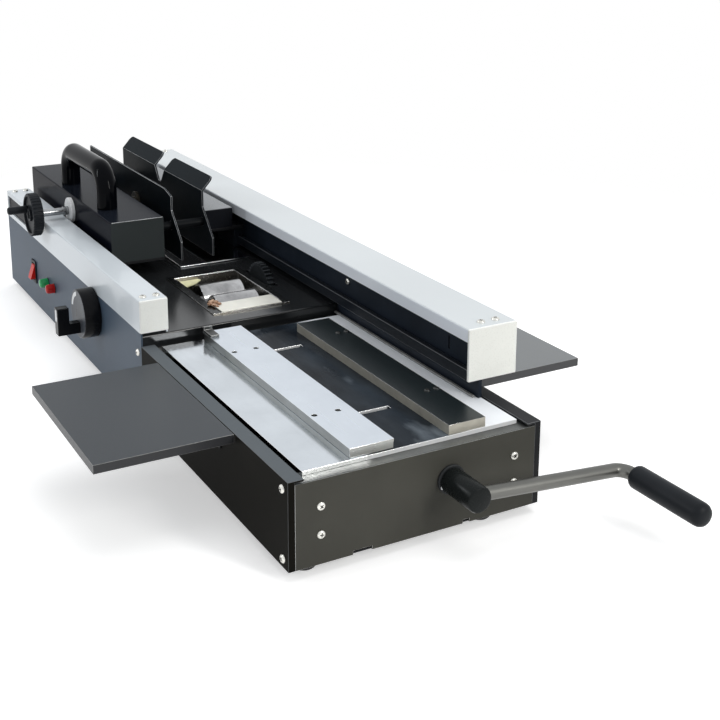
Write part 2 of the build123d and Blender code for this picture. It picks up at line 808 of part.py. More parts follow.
with BuildPart() as heater_plate:
    block(tank_far + heater_in, tank_near - heater_in, tank_front + heater_in, tank_back - heater_in,
          tank_low - heater_t, tank_low)
heater_plate.part.label = "heater_plate"
export_step(heater_plate.part, "parts/heater_plate.step")

# Doctor blade on the near rim of the tank, with a lip that hangs down beside the second roller
with BuildPart() as doctor_blade:
    with BuildSketch(side_plane(tank_near, tank_back - blade_end_in, deck_top + rim_t)):
        Polygon(
            (rim_w, 0),
            (rim_w, blade_t),
            (-blade_reach, blade_t),
            (-blade_reach - blade_lip_run, blade_t - blade_lip_drop),
            (-blade_reach - blade_lip_run + blade_lip_w, blade_t - blade_lip_drop),
            (-blade_reach + blade_lip_w, 0),
            align=None,
        )
    extrude(amount=tank_w - 2 * blade_end_in)
doctor_blade.part.label = "doctor_blade"
export_step(doctor_blade.part, "parts/doctor_blade.step")

# Glue rollers on their shafts
roller_front = tank_front + tank_wall + roller_end_gap
shaft_front = tank_front - shaft_out
small_gear_back = small_gear_front + small_gear_t
with BuildPart() as glue_roller_1:
    rod((roller_1_x, roller_front, roller_z), (0, 1, 0), roller_r, roller_l)
    rod((roller_1_x, shaft_front, roller_z), (0, 1, 0), roller_shaft_r, drive_gear_back - shaft_front)
glue_roller_1.part.label = "glue_roller_1"
export_step(glue_roller_1.part, "parts/glue_roller_1.step")

with BuildPart() as glue_roller_2:
    rod((roller_2_x, roller_front, roller_z), (0, 1, 0), roller_r, roller_l)
    rod((roller_2_x, shaft_front, roller_z), (0, 1, 0), roller_shaft_r, small_gear_back - shaft_front)
glue_roller_2.part.label = "glue_roller_2"
export_step(glue_roller_2.part, "parts/glue_roller_2.step")

# Gear train: the motor pinion turns the drive gear, an idler takes it to the second roller
half_step = 180 / small_teeth
with BuildPart() as drive_gear:
    gear(side_plane(roller_1_x, drive_gear_back, roller_z), drive_teeth, 270, drive_gear_t)
    gear(side_plane(roller_1_x, small_gear_back, roller_z), small_teeth, 0, small_gear_t)
    rod((roller_1_x, small_gear_back, roller_z), (0, 1, 0), gear_boss_r, drive_gear_front - small_gear_back)
    rod((roller_1_x, small_gear_front, roller_z), (0, 1, 0), roller_shaft_r + shaft_gap,
        drive_gear_back - small_gear_front, mode=Mode.SUBTRACT)
drive_gear.part.label = "drive_gear"
export_step(drive_gear.part, "parts/drive_gear.step")

with BuildPart() as idler_gear:
    gear(side_plane(idler_x, small_gear_back, roller_z), small_teeth, 180 + half_step, small_gear_t)
    rod((idler_x, small_gear_front, roller_z), (0, 1, 0), pinion_shaft_r + shaft_gap, small_gear_t,
        mode=Mode.SUBTRACT)
idler_gear.part.label = "idler_gear"
export_step(idler_gear.part, "parts/idler_gear.step")

with BuildPart() as driven_gear:
    gear(side_plane(roller_2_x, small_gear_back, roller_z), small_teeth, 180, small_gear_t)
    rod((roller_2_x, small_gear_front, roller_z), (0, 1, 0), roller_shaft_r + shaft_gap, small_gear_t,
        mode=Mode.SUBTRACT)
driven_gear.part.label = "driven_gear"
export_step(driven_gear.part, "parts/driven_gear.step")

motor_z = roller_z - gear_module * (small_teeth + drive_teeth) / 2
motor_front = drive_gear_back + motor_gap
motor_back = back - sheet - motor_back_gap
with BuildPart() as motor_pinion:
    gear(side_plane(roller_1_x, drive_gear_back, motor_z), small_teeth, 90 + half_step, drive_gear_t)
    rod((roller_1_x, drive_gear_back, motor_z), (0, 1, 0), pinion_shaft_r, motor_gap + pinion_engage)
motor_pinion.part.label = "motor_pinion"
export_step(motor_pinion.part, "parts/motor_pinion.step")

with BuildPart() as roller_motor:
    rod((roller_1_x, motor_front, motor_z), (0, 1, 0), motor_r, motor_back - motor_front)
    block(roller_1_x - motor_foot_w / 2, roller_1_x + motor_foot_w / 2, motor_front + motor_foot_in,
          motor_back - motor_foot_in, pan_top, motor_z)
    rod((roller_1_x, motor_front, motor_z), (0, 1, 0), pinion_shaft_r + shaft_gap, pinion_engage + 1,
        mode=Mode.SUBTRACT)
roller_motor.part.label = "roller_motor"
export_step(roller_motor.part, "parts/roller_motor.step")

# Rocker switch, whose button tilts on a pin through the bezel's side walls
cavity_w = bezel_body_w - 2 * rocker_wall
cavity_h = bezel_body_h - 2 * rocker_wall
rocker_pin_at = (rocker_at[0] - bezel_body_w / 2, front + rocker_pivot_d, rocker_at[2])
with BuildPart() as rocker_bezel:
    with BuildSketch(side_plane(*rocker_at)):
        RectangleRounded(rocker_w, rocker_h, 1.5)
    extrude(amount=rocker_rim_t)
    with BuildSketch(side_plane(*rocker_at)):
        Rectangle(bezel_body_w, bezel_body_h)
    extrude(amount=-rocker_body_d)
    with BuildSketch(side_plane(rocker_at[0], front - rocker_rim_t, rocker_at[2])):
        Rectangle(cavity_w, cavity_h)
    extrude(amount=-(rocker_rim_t + rocker_body_d - 2), mode=Mode.SUBTRACT)
    rod(rocker_pin_at, (1, 0, 0), rocker_pin_r + shaft_gap, bezel_body_w, mode=Mode.SUBTRACT)
rocker_bezel.part.label = "rocker_bezel"
export_step(rocker_bezel.part, "parts/rocker_bezel.step")

button_w = cavity_w - 2 * button_gap
button_h = cavity_h - 2 * button_end_gap
with BuildPart() as rocker_button:
    with BuildSketch(end_plane(rocker_at[0] - button_w / 2, front, rocker_at[2])):
        with BuildLine():
            Polyline(
                (-button_out_top, button_h / 2),
                (-button_out_low, -button_h / 2),
                (rocker_pivot_d - 2, -button_h / 2),
                (rocker_pivot_d + 3, 0),
                (rocker_pivot_d - 2, button_h / 2),
                close=True,
            )
        make_face()
    extrude(amount=button_w)
    rod(rocker_pin_at, (1, 0, 0), rocker_pin_r, bezel_body_w)
rocker_button.part.label = "rocker_button"
export_step(rocker_button.part, "parts/rocker_button.step")


def lamp(at):
    """Add a pilot lamp: rim, lens and the body behind the panel."""
    rod(at, (0, -1, 0), lamp_rim_r, lamp_rim_t)
    rod(at, (0, -1, 0), lamp_lens_r, lamp_out)
    rod(at, (0, 1, 0), lamp_body_r, lamp_body_l)


with BuildPart() as green_lamp:
    lamp(lamp_at[0])
    fillet(green_lamp.edges().group_by(Axis.Y)[0], radius=2.5)
green_lamp.part.label = "green_lamp"
export_step(green_lamp.part, "parts/green_lamp.step")

with BuildPart() as red_lamp:
    lamp(lamp_at[1])
    fillet(red_lamp.edges().group_by(Axis.Y)[0], radius=2.5)
red_lamp.part.label = "red_lamp"
export_step(red_lamp.part, "parts/red_lamp.step")

# Dial knob with a grip that stands on a ledge, clear of the knob's face
with BuildPart() as dial_knob:
    rod((knob_at[0], front - knob_gap, knob_at[2]), (0, -1, 0), knob_r, knob_t)
    fillet(dial_knob.edges().group_by(Axis.Y)[0], radius=1.5)
    with BuildSketch(end_plane(knob_at[0] - knob_grip_w / 2, front - knob_gap - knob_t, knob_at[2])):
        Polygon(
            (0, -knob_grip_low),
            (-knob_grip_out, -knob_grip_low),
            (-knob_grip_out, knob_grip_top),
            (-knob_grip_gap, knob_grip_top),
            (-knob_grip_gap, -knob_grip_ledge),
            (0, -knob_grip_ledge),
            align=None,
        )
    extrude(amount=knob_grip_w)
    fillet(dial_knob.edges().group_by(Axis.Y)[0], radius=1.5)
    rod((knob_at[0], front - knob_gap, knob_at[2]), (0, 1, 0), knob_shaft_r, knob_gap + knob_shaft_l)
dial_knob.part.label = "dial_knob"
export_step(dial_knob.part, "parts/dial_knob.step")

# Cover tables, their brackets on the station walls and the pins between
tray_near = near - tray_near_in
tray_far = tray_near - tray_l
pin_z = station_top - hinge_drop
hinge_x = (tray_near - tray_hinge_in, tray_far + tray_hinge_in)


def tray(edge, side):
    """Add a table that runs out from a wall, with three folded edges and its knuckles."""
    inner = edge + side * tray_gap
    outer = inner + side * tray_d
    lip = outer - side * tray_sheet
    pin_y = edge + side * hinge_out
    low = station_top - tray_h
    under = station_top - tray_sheet
    block(tray_far, tray_near, min(inner, outer), max(inner, outer), under, station_top)
    block(tray_far, tray_near, min(lip, outer), max(lip, outer), low, station_top)
    for x in (tray_far, tray_near - tray_sheet):
        block(x, x + tray_sheet, min(inner, outer), max(inner, outer), low, station_top)
    for x in hinge_x:
        first = x - bracket_w / 2 - slide_gap - knuckle_w
        for start in (first, x + bracket_w / 2 + slide_gap):
            block(start, start + knuckle_w, pin_y - knuckle_r, pin_y + knuckle_r, pin_z, under)
            rod((start, pin_y, pin_z), (1, 0, 0), knuckle_r, knuckle_w)
        rod((first, pin_y, pin_z), (1, 0, 0), hinge_pin_r + shaft_gap,
            bracket_w + 2 * (slide_gap + knuckle_w), mode=Mode.SUBTRACT)


with BuildPart() as front_tray:
    tray(front, -1)
front_tray.part.label = "front_tray"
export_step(front_tray.part, "parts/front_tray.step")

with BuildPart() as rear_tray:
    tray(back, 1)
rear_tray.part.label = "rear_tray"
export_step(rear_tray.part, "parts/rear_tray.step")

with BuildPart() as hinge_pins:
    for edge, side in ((front, -1), (back, 1)):
        for x in hinge_x:
            start = x - bracket_w / 2 - slide_gap - knuckle_w - hinge_pin_out
            rod((start, edge + side * hinge_out, pin_z), (1, 0, 0), hinge_pin_r,
                bracket_w + 2 * (slide_gap + knuckle_w + hinge_pin_out))
hinge_pins.part.label = "hinge_pins"
export_step(hinge_pins.part, "parts/hinge_pins.step")

with BuildPart() as tray_brackets:
    for edge, side in ((front, -1), (back, 1)):
        pin_y = edge + side * hinge_out
        for x in hinge_x:
            block(x - bracket_w / 2, x + bracket_w / 2, min(edge, pin_y), max(edge, pin_y),
                  pin_z - knuckle_r, pin_z + knuckle_r)
            rod((x - bracket_w / 2, pin_y, pin_z), (1, 0, 0), knuckle_r, bracket_w)
            block(x - bracket_w / 2, x + bracket_w / 2, min(edge, edge + side * tray_sheet),
                  max(edge, edge + side * tray_sheet), pin_z + knuckle_r - bracket_h, pin_z + knuckle_r)
            rod((x - bracket_w / 2, pin_y, pin_z), (1, 0, 0), hinge_pin_r + shaft_gap, bracket_w,
                mode=Mode.SUBTRACT)
tray_brackets.part.label = "tray_brackets"
export_step(tray_brackets.part, "parts/tray_brackets.step")

# Carriage frame: floor of the front box, arched web beyond the clamp plates, saddle over the slide blocks
box_far = far
box_near = far + box_l
box_front = front + box_y
box_back = box_front + box_w
floor_low = box_z - frame_t
saddle_low = box_z + frame_step - frame_t
rear_box_near = box_near - rear_box_in
rear_box_front = front + back_jaw_y + jaw_plate_t
rear_box_back = wall_front - rear_box_clear
block_front = head_front - slide_gap - block_wall
block_back = wall_front - block_gap
saddle_back = wall_front - screw_head_h - slide_gap
front_clamp_far = box_far - front_clamp_out
web_near = front_clamp_far - web_gap
web_far = web_near - frame_t
web_arch_z = roller_z + drive_gear_out + gear_gap
web_arch_front = front + front_jaw_y
saddle_top = saddle_low + frame_t
with BuildPart() as carriage_frame:
    block(web_far, box_near, box_front, box_back, floor_low, box_z)
    block(web_far, web_near, box_back - frame_t, web_arch_front, floor_low, saddle_top)
    block(web_far, web_near, web_arch_front, block_front, web_arch_z, saddle_top)
    block(web_far, rear_box_near, rear_box_front, saddle_back, saddle_low, saddle_top)
carriage_frame.part.label = "carriage_frame"
export_step(carriage_frame.part, "parts/carriage_frame.step")

# Slide blocks that hang on the guide rail
block_low_z = rail_z - block_low
with BuildPart() as slide_blocks:
    for x in (box_far + block_end_in, rear_box_near - block_end_in - block_l):
        block(x, x + block_l, block_front, block_back, block_low_z, saddle_low)
        block(x, x + block_l, head_front - slide_gap, neck_front + slide_gap, rail_z - slide_gap,
              rail_z + rail_head_h + slide_gap, mode=Mode.SUBTRACT)
        block(x, x + block_l, neck_front, block_back, neck_z - slide_gap, neck_z + rail_neck_h + slide_gap,
              mode=Mode.SUBTRACT)
slide_blocks.part.label = "slide_blocks"
export_step(slide_blocks.part, "parts/slide_blocks.step")

# Front box cover, open below, over the clamp screw
box_top = box_z + box_h
screw_at_x = box_far + screw_in
rod_places = (box_far + rod_in[0], box_near - rod_in[1])
with BuildPart() as carriage_cover:
    block(box_far, box_near, box_front, box_back, box_z, box_top)
    fillet(carriage_cover.edges().group_by(Axis.Z)[-1], radius=1.5)
    block(box_far + sheet, box_near - sheet, box_front + sheet, box_back - sheet, box_z, box_top - sheet,
          mode=Mode.SUBTRACT)
    rod((screw_at_x, box_front, screw_z), (0, 1, 0), hand_screw_r + shaft_gap, sheet, mode=Mode.SUBTRACT)
    rod((screw_at_x, box_back - sheet, screw_z), (0, 1, 0), nut_r + slide_gap, sheet, mode=Mode.SUBTRACT)
    for x in rod_places:
        rod((x, box_back - sheet, rod_z), (0, 1, 0), rod_r + shaft_gap, sheet, mode=Mode.SUBTRACT)
carriage_cover.part.label = "carriage_cover"
export_step(carriage_cover.part, "parts/carriage_cover.step")

# U handle on the front box
handle_far = box_far + handle_in[0]
handle_near = box_far + handle_in[1]
handle_at = front + handle_y
handle_top = box_top + handle_h - handle_r
with BuildPart() as carriage_handle:
    with BuildLine(side_plane(0, handle_at, 0)) as handle_path:
        FilletPolyline(
            (handle_far, box_top),
            (handle_far, handle_top),
            (handle_near, handle_top),
            (handle_near, box_top),
            radius=handle_bend,
        )
    with BuildSketch(Plane(origin=handle_path.line @ 0, z_dir=handle_path.line % 0)):
        Circle(handle_r)
    sweep(path=handle_path.line)
carriage_handle.part.label = "carriage_handle"
export_step(carriage_handle.part, "parts/carriage_handle.step")

# Guide rods of the front clamp plate
back_jaw_front = front + back_jaw_y
back_jaw_back = back_jaw_front + jaw_plate_t
with BuildPart() as guide_rods:
    for x in rod_places:
        rod((x, box_front + sheet, rod_z), (0, 1, 0), rod_r, back_jaw_back - box_front - sheet)
guide_rods.part.label = "guide_rods"
export_step(guide_rods.part, "parts/guide_rods.step")

# Near end of both clamp plates, and the places of the tabs on the back one
clamp_low_x = box_near - clamp_low_in
clamp_high_x = box_near - clamp_high_in
clamp_end = [
    (clamp_high_x, clamp_slant_high),
    (clamp_low_x, clamp_slant_low),
    (clamp_low_x, clamp_bottom),
]
back_clamp_far = box_far + back_clamp_in
notch_x = (back_clamp_far + clamp_high_x) / 2
tab_l = (clamp_high_x - back_clamp_far - tab_gap) / 2

# Back clamp plate with two tabs that lean back
with BuildPart() as back_jaw:
    with BuildSketch(side_plane(0, back_jaw_back, 0)):
        Polygon(
            (back_clamp_far, clamp_bottom),
            (back_clamp_far, tab_fold),
            (back_clamp_far + tab_l, tab_fold),
            (notch_x - tab_notch_w / 2, tab_notch_z),
            (notch_x + tab_notch_w / 2, tab_notch_z),
            (clamp_high_x - tab_l, tab_fold),
            (clamp_high_x, tab_fold),
            *clamp_end,
            align=None,
        )
    extrude(amount=jaw_plate_t)
    for tab_start in (back_clamp_far, clamp_high_x - tab_l):
        lean_plane = Plane(
            origin=(tab_start + tab_l / 2, back_jaw_front, tab_fold),
            x_dir=(1, 0, 0),
            z_dir=(0, -cos(radians(tab_lean)), sin(radians(tab_lean))),
        )
        with BuildSketch(lean_plane) as tab_sketch:
            Rectangle(tab_l, tab_flange, align=(Align.CENTER, Align.MIN))
            fillet(tab_sketch.vertices().group_by(Axis.Y)[-1], radius=tab_round)
        extrude(amount=-jaw_plate_t)
    for x in rod_places:
        rod((x, back_jaw_front, rod_z), (0, 1, 0), rod_r + shaft_gap, jaw_plate_t, mode=Mode.SUBTRACT)
back_jaw.part.label = "back_jaw"
export_step(back_jaw.part, "parts/back_jaw.step")

# Front clamp plate, which slides on the guide rods
front_jaw_front = front + front_jaw_y
front_jaw_back = front_jaw_front + jaw_plate_t
with BuildPart() as front_jaw:
    with BuildSketch(side_plane(0, front_jaw_back, 0)):
        Polygon(
            (front_clamp_far, clamp_bottom),
            (front_clamp_far, clamp_top),
            (clamp_high_x - clamp_corner_l, clamp_top),
            (clamp_high_x, clamp_top - clamp_corner_h),
            *clamp_end,
            align=None,
        )
    extrude(amount=jaw_plate_t)
    for x in rod_places:
        rod((x, front_jaw_front, rod_z), (0, 1, 0), rod_r + shaft_gap, jaw_plate_t, mode=Mode.SUBTRACT)
front_jaw.part.label = "front_jaw"
export_step(front_jaw.part, "parts/front_jaw.step")

# Long clamp nut behind the front clamp plate
nut_front = front_jaw_front - nut_l
with BuildPart() as clamp_nut:
    rod((screw_at_x, nut_front, screw_z), (0, 1, 0), nut_r, nut_l)
    rod((screw_at_x, front_jaw_front, screw_z), (0, -1, 0), nut_flange_r, nut_flange_t)
    rod((screw_at_x, nut_front, screw_z), (0, 1, 0), hand_screw_r + shaft_gap, nut_l, mode=Mode.SUBTRACT)
clamp_nut.part.label = "clamp_nut"
export_step(clamp_nut.part, "parts/clamp_nut.step")

# White disc on the front box and the screw shaft through it
with BuildPart() as screw_disc:
    rod((screw_at_x, box_front, screw_z), (0, -1, 0), disc_r, disc_t)
    rod((screw_at_x, box_front, screw_z), (0, -1, 0), hand_screw_r + shaft_gap, disc_t, mode=Mode.SUBTRACT)
screw_disc.part.label = "screw_disc"
export_step(screw_disc.part, "parts/screw_disc.step")

wheel_front_y = front + wheel_front
wheel_back_y = wheel_front_y + wheel_t
with BuildPart() as hand_screw:
    rod((screw_at_x, wheel_front_y + wheel_recess, screw_z), (0, 1, 0), hand_screw_r,
        front + hand_screw_end - wheel_front_y - wheel_recess)
    rod((screw_at_x, box_front - disc_t - slide_gap, screw_z), (0, -1, 0), collar_out_r, collar_out_l)
    rod((screw_at_x, box_front + sheet + slide_gap, screw_z), (0, 1, 0), collar_in_r, collar_in_l)
hand_screw.part.label = "hand_screw"
export_step(hand_screw.part, "parts/hand_screw.step")

# Handwheel with a raised rim and hub, and the stub that turns on it
stub_x = screw_at_x + stub_offset * cos(radians(stub_angle))
stub_z = screw_z + stub_offset * sin(radians(stub_angle))
with BuildPart() as handwheel:
    rod((screw_at_x, wheel_back_y, screw_z), (0, -1, 0), wheel_r, wheel_t)
    fillet(handwheel.edges().group_by(Axis.Y)[0], radius=1.5)
    fillet(handwheel.edges().group_by(Axis.Y)[-1], radius=1.5)
    with BuildSketch(side_plane(screw_at_x, wheel_front_y, screw_z)):
        Circle(wheel_r - wheel_rim)
        Circle(wheel_hub_r, mode=Mode.SUBTRACT)
    extrude(amount=-wheel_recess, mode=Mode.SUBTRACT)
    rod((screw_at_x, wheel_front_y + wheel_recess, screw_z), (0, 1, 0), hand_screw_r + shaft_gap,
        wheel_t, mode=Mode.SUBTRACT)
    rod((stub_x, wheel_front_y, stub_z), (0, 1, 0), stub_pin_r + shaft_gap, stub_pin_l + wheel_recess,
        mode=Mode.SUBTRACT)
handwheel.part.label = "handwheel"
export_step(handwheel.part, "parts/handwheel.step")

with BuildPart() as wheel_stub:
    rod((stub_x, wheel_front_y + wheel_recess - slide_gap, stub_z), (0, -1, 0), stub_r, stub_l + wheel_recess)
    fillet(wheel_stub.edges().group_by(Axis.Y)[0], radius=2)
    rod((stub_x, wheel_front_y, stub_z), (0, 1, 0), stub_pin_r, stub_pin_l + wheel_recess - slide_gap)
wheel_stub.part.label = "wheel_stub"
export_step(wheel_stub.part, "parts/wheel_stub.step")

# Rear box on the saddle
rear_box_low = saddle_low + frame_t
rear_box_top = rear_box_low + rear_box_h
with BuildPart() as rear_box:
    block(box_far, rear_box_near, rear_box_front, rear_box_back, rear_box_low, rear_box_top)
    fillet(rear_box.edges().group_by(Axis.Z)[-1], radius=1.5)
    block(box_far + sheet, rear_box_near - sheet, rear_box_front + sheet, rear_box_back - sheet,
          rear_box_low, rear_box_top - sheet, mode=Mode.SUBTRACT)
rear_box.part.label = "rear_box"
export_step(rear_box.part, "parts/rear_box.step")

# Pan-head screws of the panels, the beams and the right jaw
with BuildPart() as panel_screws:
    for screws in (near_screws, side_screws, case_screws, front_beam_screws, rear_beam_screws, wall_screws):
        for at, out in screws:
            rod(at, out, screw_head_r, screw_head_h)
            rod(at, tuple(-c for c in out), screw_r, screw_l)
    for at, out in right_jaw_screws:
        rod(at, out, jaw_screw_head_r, jaw_screw_head_h)
        rod(at, tuple(-c for c in out), screw_r, screw_l)
panel_screws.part.label = "panel_screws"
export_step(panel_screws.part, "parts/panel_screws.step")
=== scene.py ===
import json
from math import atan2, cos, pi, radians, sin

import bmesh
import bpy
from mathutils import Matrix, Vector, noise as ripple

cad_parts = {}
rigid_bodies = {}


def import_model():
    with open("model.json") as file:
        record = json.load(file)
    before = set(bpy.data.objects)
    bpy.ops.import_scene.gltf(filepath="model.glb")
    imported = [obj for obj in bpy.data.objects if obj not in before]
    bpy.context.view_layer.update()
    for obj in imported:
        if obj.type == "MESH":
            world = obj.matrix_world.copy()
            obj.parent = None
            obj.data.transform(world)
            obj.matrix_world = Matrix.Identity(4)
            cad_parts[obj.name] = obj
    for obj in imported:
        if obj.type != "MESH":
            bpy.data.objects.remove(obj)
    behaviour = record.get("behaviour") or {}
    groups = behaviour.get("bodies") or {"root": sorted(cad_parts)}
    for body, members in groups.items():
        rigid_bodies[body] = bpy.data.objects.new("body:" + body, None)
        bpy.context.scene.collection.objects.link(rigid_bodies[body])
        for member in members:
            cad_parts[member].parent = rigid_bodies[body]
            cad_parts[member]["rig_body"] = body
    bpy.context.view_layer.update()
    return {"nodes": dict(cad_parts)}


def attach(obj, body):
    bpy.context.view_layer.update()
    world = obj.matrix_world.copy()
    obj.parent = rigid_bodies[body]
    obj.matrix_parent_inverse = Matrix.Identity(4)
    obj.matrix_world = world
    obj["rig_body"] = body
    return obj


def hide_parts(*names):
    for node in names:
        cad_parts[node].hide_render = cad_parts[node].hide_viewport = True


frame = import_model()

nodes = frame["nodes"]
along, ahead, upward, rearward = (1, 0, 0), (0, -1, 0), (0, 0, 1), (0, 1, 0)

mid_x, mid_y = -455, 138
photo_px = 720
sensor_mm = 36


def at(x, y, z):
    """Millimetres from the near face, the front face and the floor, to the frame's metres."""
    return Vector(((x - mid_x) / 1000, (y - mid_y) / 1000, z / 1000))


def camera():
    """The photograph's camera, from the cabinet's straight edges, with part of its shift as pitch."""
    yaw, pitch, roll = radians(60.770), radians(13.988), radians(-0.2495)
    place = (1.34640, -0.56542, 0.59952)
    focal_px, centre_row = 1232.424, 200
    forward = Vector((-sin(yaw) * cos(pitch), cos(yaw) * cos(pitch), -sin(pitch)))
    right = Vector((cos(yaw), sin(yaw), 0))
    up = right.cross(forward)
    turn = Matrix.Rotation(roll, 3, forward)
    right, up = turn @ right, turn @ up
    data = bpy.data.cameras.new("photo_camera")
    data.sensor_width = sensor_mm
    data.lens = focal_px * sensor_mm / photo_px
    data.shift_y = (centre_row - photo_px / 2) / photo_px
    data.clip_start = 0.05
    data.clip_end = 60
    eye = bpy.data.objects.new("photo_camera", data)
    eye.matrix_world = Matrix.Translation(place) @ Matrix((right, up, -forward)).transposed().to_4x4()
    bpy.context.scene.collection.objects.link(eye)
    bpy.context.scene.camera = eye


camera()


# Materials

def links(mat):
    """The nodes and links of a material, switched on."""
    mat.use_nodes = True
    return mat.node_tree.nodes, mat.node_tree.links


def maths(tree, operation, first, second):
    """A maths node on two values, given as numbers or sockets."""
    new, link = tree
    node = new.new("ShaderNodeMath")
    node.operation = operation
    for socket, value in zip(node.inputs, (first, second)):
        if isinstance(value, bpy.types.NodeSocket):
            link.new(value, socket)
        else:
            socket.default_value = value
    return node.outputs[0]


def coordinate(tree, space, axis):
    """One part of the object's own coordinates or normal."""
    new, link = tree
    place = new.new("ShaderNodeTexCoord")
    parts = new.new("ShaderNodeSeparateXYZ")
    link.new(place.outputs[space], parts.inputs["Vector"])
    return parts.outputs[axis]


def noise(tree, scale, detail=3.0, stretch=(1, 1, 1), rough=0.55):
    """A noise value in the object's own space."""
    new, link = tree
    place = new.new("ShaderNodeTexCoord")
    mapping = new.new("ShaderNodeMapping")
    mapping.inputs["Scale"].default_value = stretch
    tex = new.new("ShaderNodeTexNoise")
    tex.inputs["Scale"].default_value = scale
    tex.inputs["Detail"].default_value = detail
    tex.inputs["Roughness"].default_value = rough
    link.new(place.outputs["Object"], mapping.inputs["Vector"])
    link.new(mapping.outputs["Vector"], tex.inputs["Vector"])
    return tex.outputs["Fac"]


def span(tree, value, low, high, start=0.3, stop=0.7):
    """Map a value onto a range of numbers."""
    new, link = tree
    node = new.new("ShaderNodeMapRange")
    node.inputs["From Min"].default_value = start
    node.inputs["From Max"].default_value = stop
    node.inputs["To Min"].default_value = low
    node.inputs["To Max"].default_value = high
    link.new(value, node.inputs["Value"])
    return node.outputs["Result"]


def blend(tree, value, first, second):
    """Mix two colours, given as colours or sockets."""
    new, link = tree
    node = new.new("ShaderNodeMix")
    node.data_type = "RGBA"
    link.new(value, node.inputs["Factor"])
    for socket, colour in ((node.inputs["A"], first), (node.inputs["B"], second)):
        if isinstance(colour, bpy.types.NodeSocket):
            link.new(colour, socket)
        else:
            socket.default_value = (*colour, 1)
    return node.outputs["Result"]


def facing(tree, axis):
    """1 on faces that look along an axis, 0 on the others; the mask for light and shade painted by facing."""
    return span(tree, coordinate(tree, "Normal", axis), 0, 1, 0.4, 0.85)


def finish(name, colour, rough, metal=0.0, shade=0.15, patch=18.0, grain=900.0, bump=0.1, depth=0.0001,
           stretch=(1, 1, 1), spread=0.06, specular=0.5, coat=0.0, second=None, up=None, near=None):
    """Patchy colour, uneven gloss, fine grain; up and near are painted light and shade, colours for the faces
    that look up or to the crank.
    """
    mat = bpy.data.materials.new(name)
    tree = links(mat)
    new, link = tree
    shader = new["Principled BSDF"]
    shader.inputs["Metallic"].default_value = metal
    shader.inputs["Specular IOR Level"].default_value = specular
    shader.inputs["Coat Weight"].default_value = coat
    shader.inputs["Coat Roughness"].default_value = 0.06
    low = tuple(c * (1 - shade) for c in colour)
    high = second or tuple(min(c * (1 + shade), 1) for c in colour)
    wide = noise(tree, patch, 4)
    fine = noise(tree, grain, 2, stretch)
    base = blend(tree, span(tree, wide, 0, 1), low, high)
    # Painted light and shade: faces that look up or to the crank take the up or near colour.
    for axis, other in (("Z", up), ("X", near)):
        if other:
            painted_facing_tone = blend(tree, span(tree, wide, 0, 1), tuple(c * 0.94 for c in other), other)
            base = blend(tree, facing(tree, axis), base, painted_facing_tone)
    link.new(base, shader.inputs["Base Color"])
    link.new(span(tree, fine, rough - spread, rough + spread), shader.inputs["Roughness"])
    relief = new.new("ShaderNodeBump")
    relief.inputs["Strength"].default_value = bump
    relief.inputs["Distance"].default_value = depth
    link.new(fine, relief.inputs["Height"])
    link.new(relief.outputs["Normal"], shader.inputs["Normal"])
    return mat


powder = finish("powder_coat", (0.010, 0.0105, 0.012), 0.5, shade=0.12, grain=1500, bump=0.3, depth=0.0002,
                specular=0.15)
case_paint = finish("case_front_paint", (0.044, 0.067, 0.098), 0.5, shade=0.12, patch=8, grain=1500, bump=0.3,
                    depth=0.0002, specular=0.3)
# Painted sheen: faces that look up are painted pale blue-grey over the near-black powder coat.
station_paint = finish("station_paint", (0.0075, 0.007, 0.0055), 0.5, shade=0.12, grain=1500, bump=0.3,
                       depth=0.0002, specular=0.02, up=(0.12, 0.135, 0.147))
deck_paint = finish("deck_gloss", (0.012, 0.013, 0.014), 0.16, shade=0.15, patch=12, grain=900, bump=0.04,
                    specular=0.4, spread=0.04)
# Painted light: faces that look up get a faint painted sheen, faces that look to the crank a paler painted
# tone.
box_paint = finish("carriage_gloss", (0.004, 0.0045, 0.009), 0.2, shade=0.15, patch=12, grain=900, bump=0.05,
                   specular=0.015, spread=0.04, up=(0.008, 0.010, 0.015), near=(0.038, 0.044, 0.045))
# Painted reflection: faces that look up are painted pale grey over the dark gloss paint.
rear_box_paint = finish("rear_box_gloss", (0.010, 0.011, 0.014), 0.25, shade=0.15, patch=12, grain=900,
                        bump=0.05, specular=0.08, spread=0.04, up=(0.27, 0.285, 0.30))
wall_paint = finish("rail_wall_paint", (0.013, 0.018, 0.027), 0.4, shade=0.2, grain=1500, bump=0.2,
                    specular=0.12)
# Painted highlight: the edge finish for powder coat is ten times paler than the coat.
powder_edge = finish("powder_edge", (0.10, 0.105, 0.11), 0.42, shade=0.3, patch=60, grain=1500, bump=0.2,
                     specular=0.3)
# Painted light: the near panel's powder coat is set several times paler than the station's front panel, and
# its top faces get a paler painted highlight.
near_paint = finish("near_panel_paint", (0.052, 0.051, 0.043), 0.52, shade=0.2, patch=7, grain=1500, bump=0.3,
                    depth=0.0002, specular=0.15, up=(0.085, 0.09, 0.088))
# Painted light: faces that look up get a faint painted sheen, faces that look to the crank a paler painted
# tone.
clamp_paint = finish("clamp_paint", (0.006, 0.0085, 0.011), 0.35, shade=0.2, grain=700, bump=0.06,
                     specular=0.02, up=(0.010, 0.015, 0.019), near=(0.035, 0.038, 0.042))
# Painted highlight: pale edge finish for the clamp plates, also used for the line on the carriage box's edge.
clamp_edge = finish("clamp_edge", (0.34, 0.35, 0.36), 0.35, metal=0.4, shade=0.3, patch=80, grain=900)
# Painted sheen: faces that look up are painted a little paler and bluer.
table_paint = finish("table_paint", (0.03, 0.031, 0.034), 0.36, shade=0.12, patch=6, grain=1400, bump=0.2,
                     depth=0.0002, specular=0.3, up=(0.030, 0.036, 0.043))
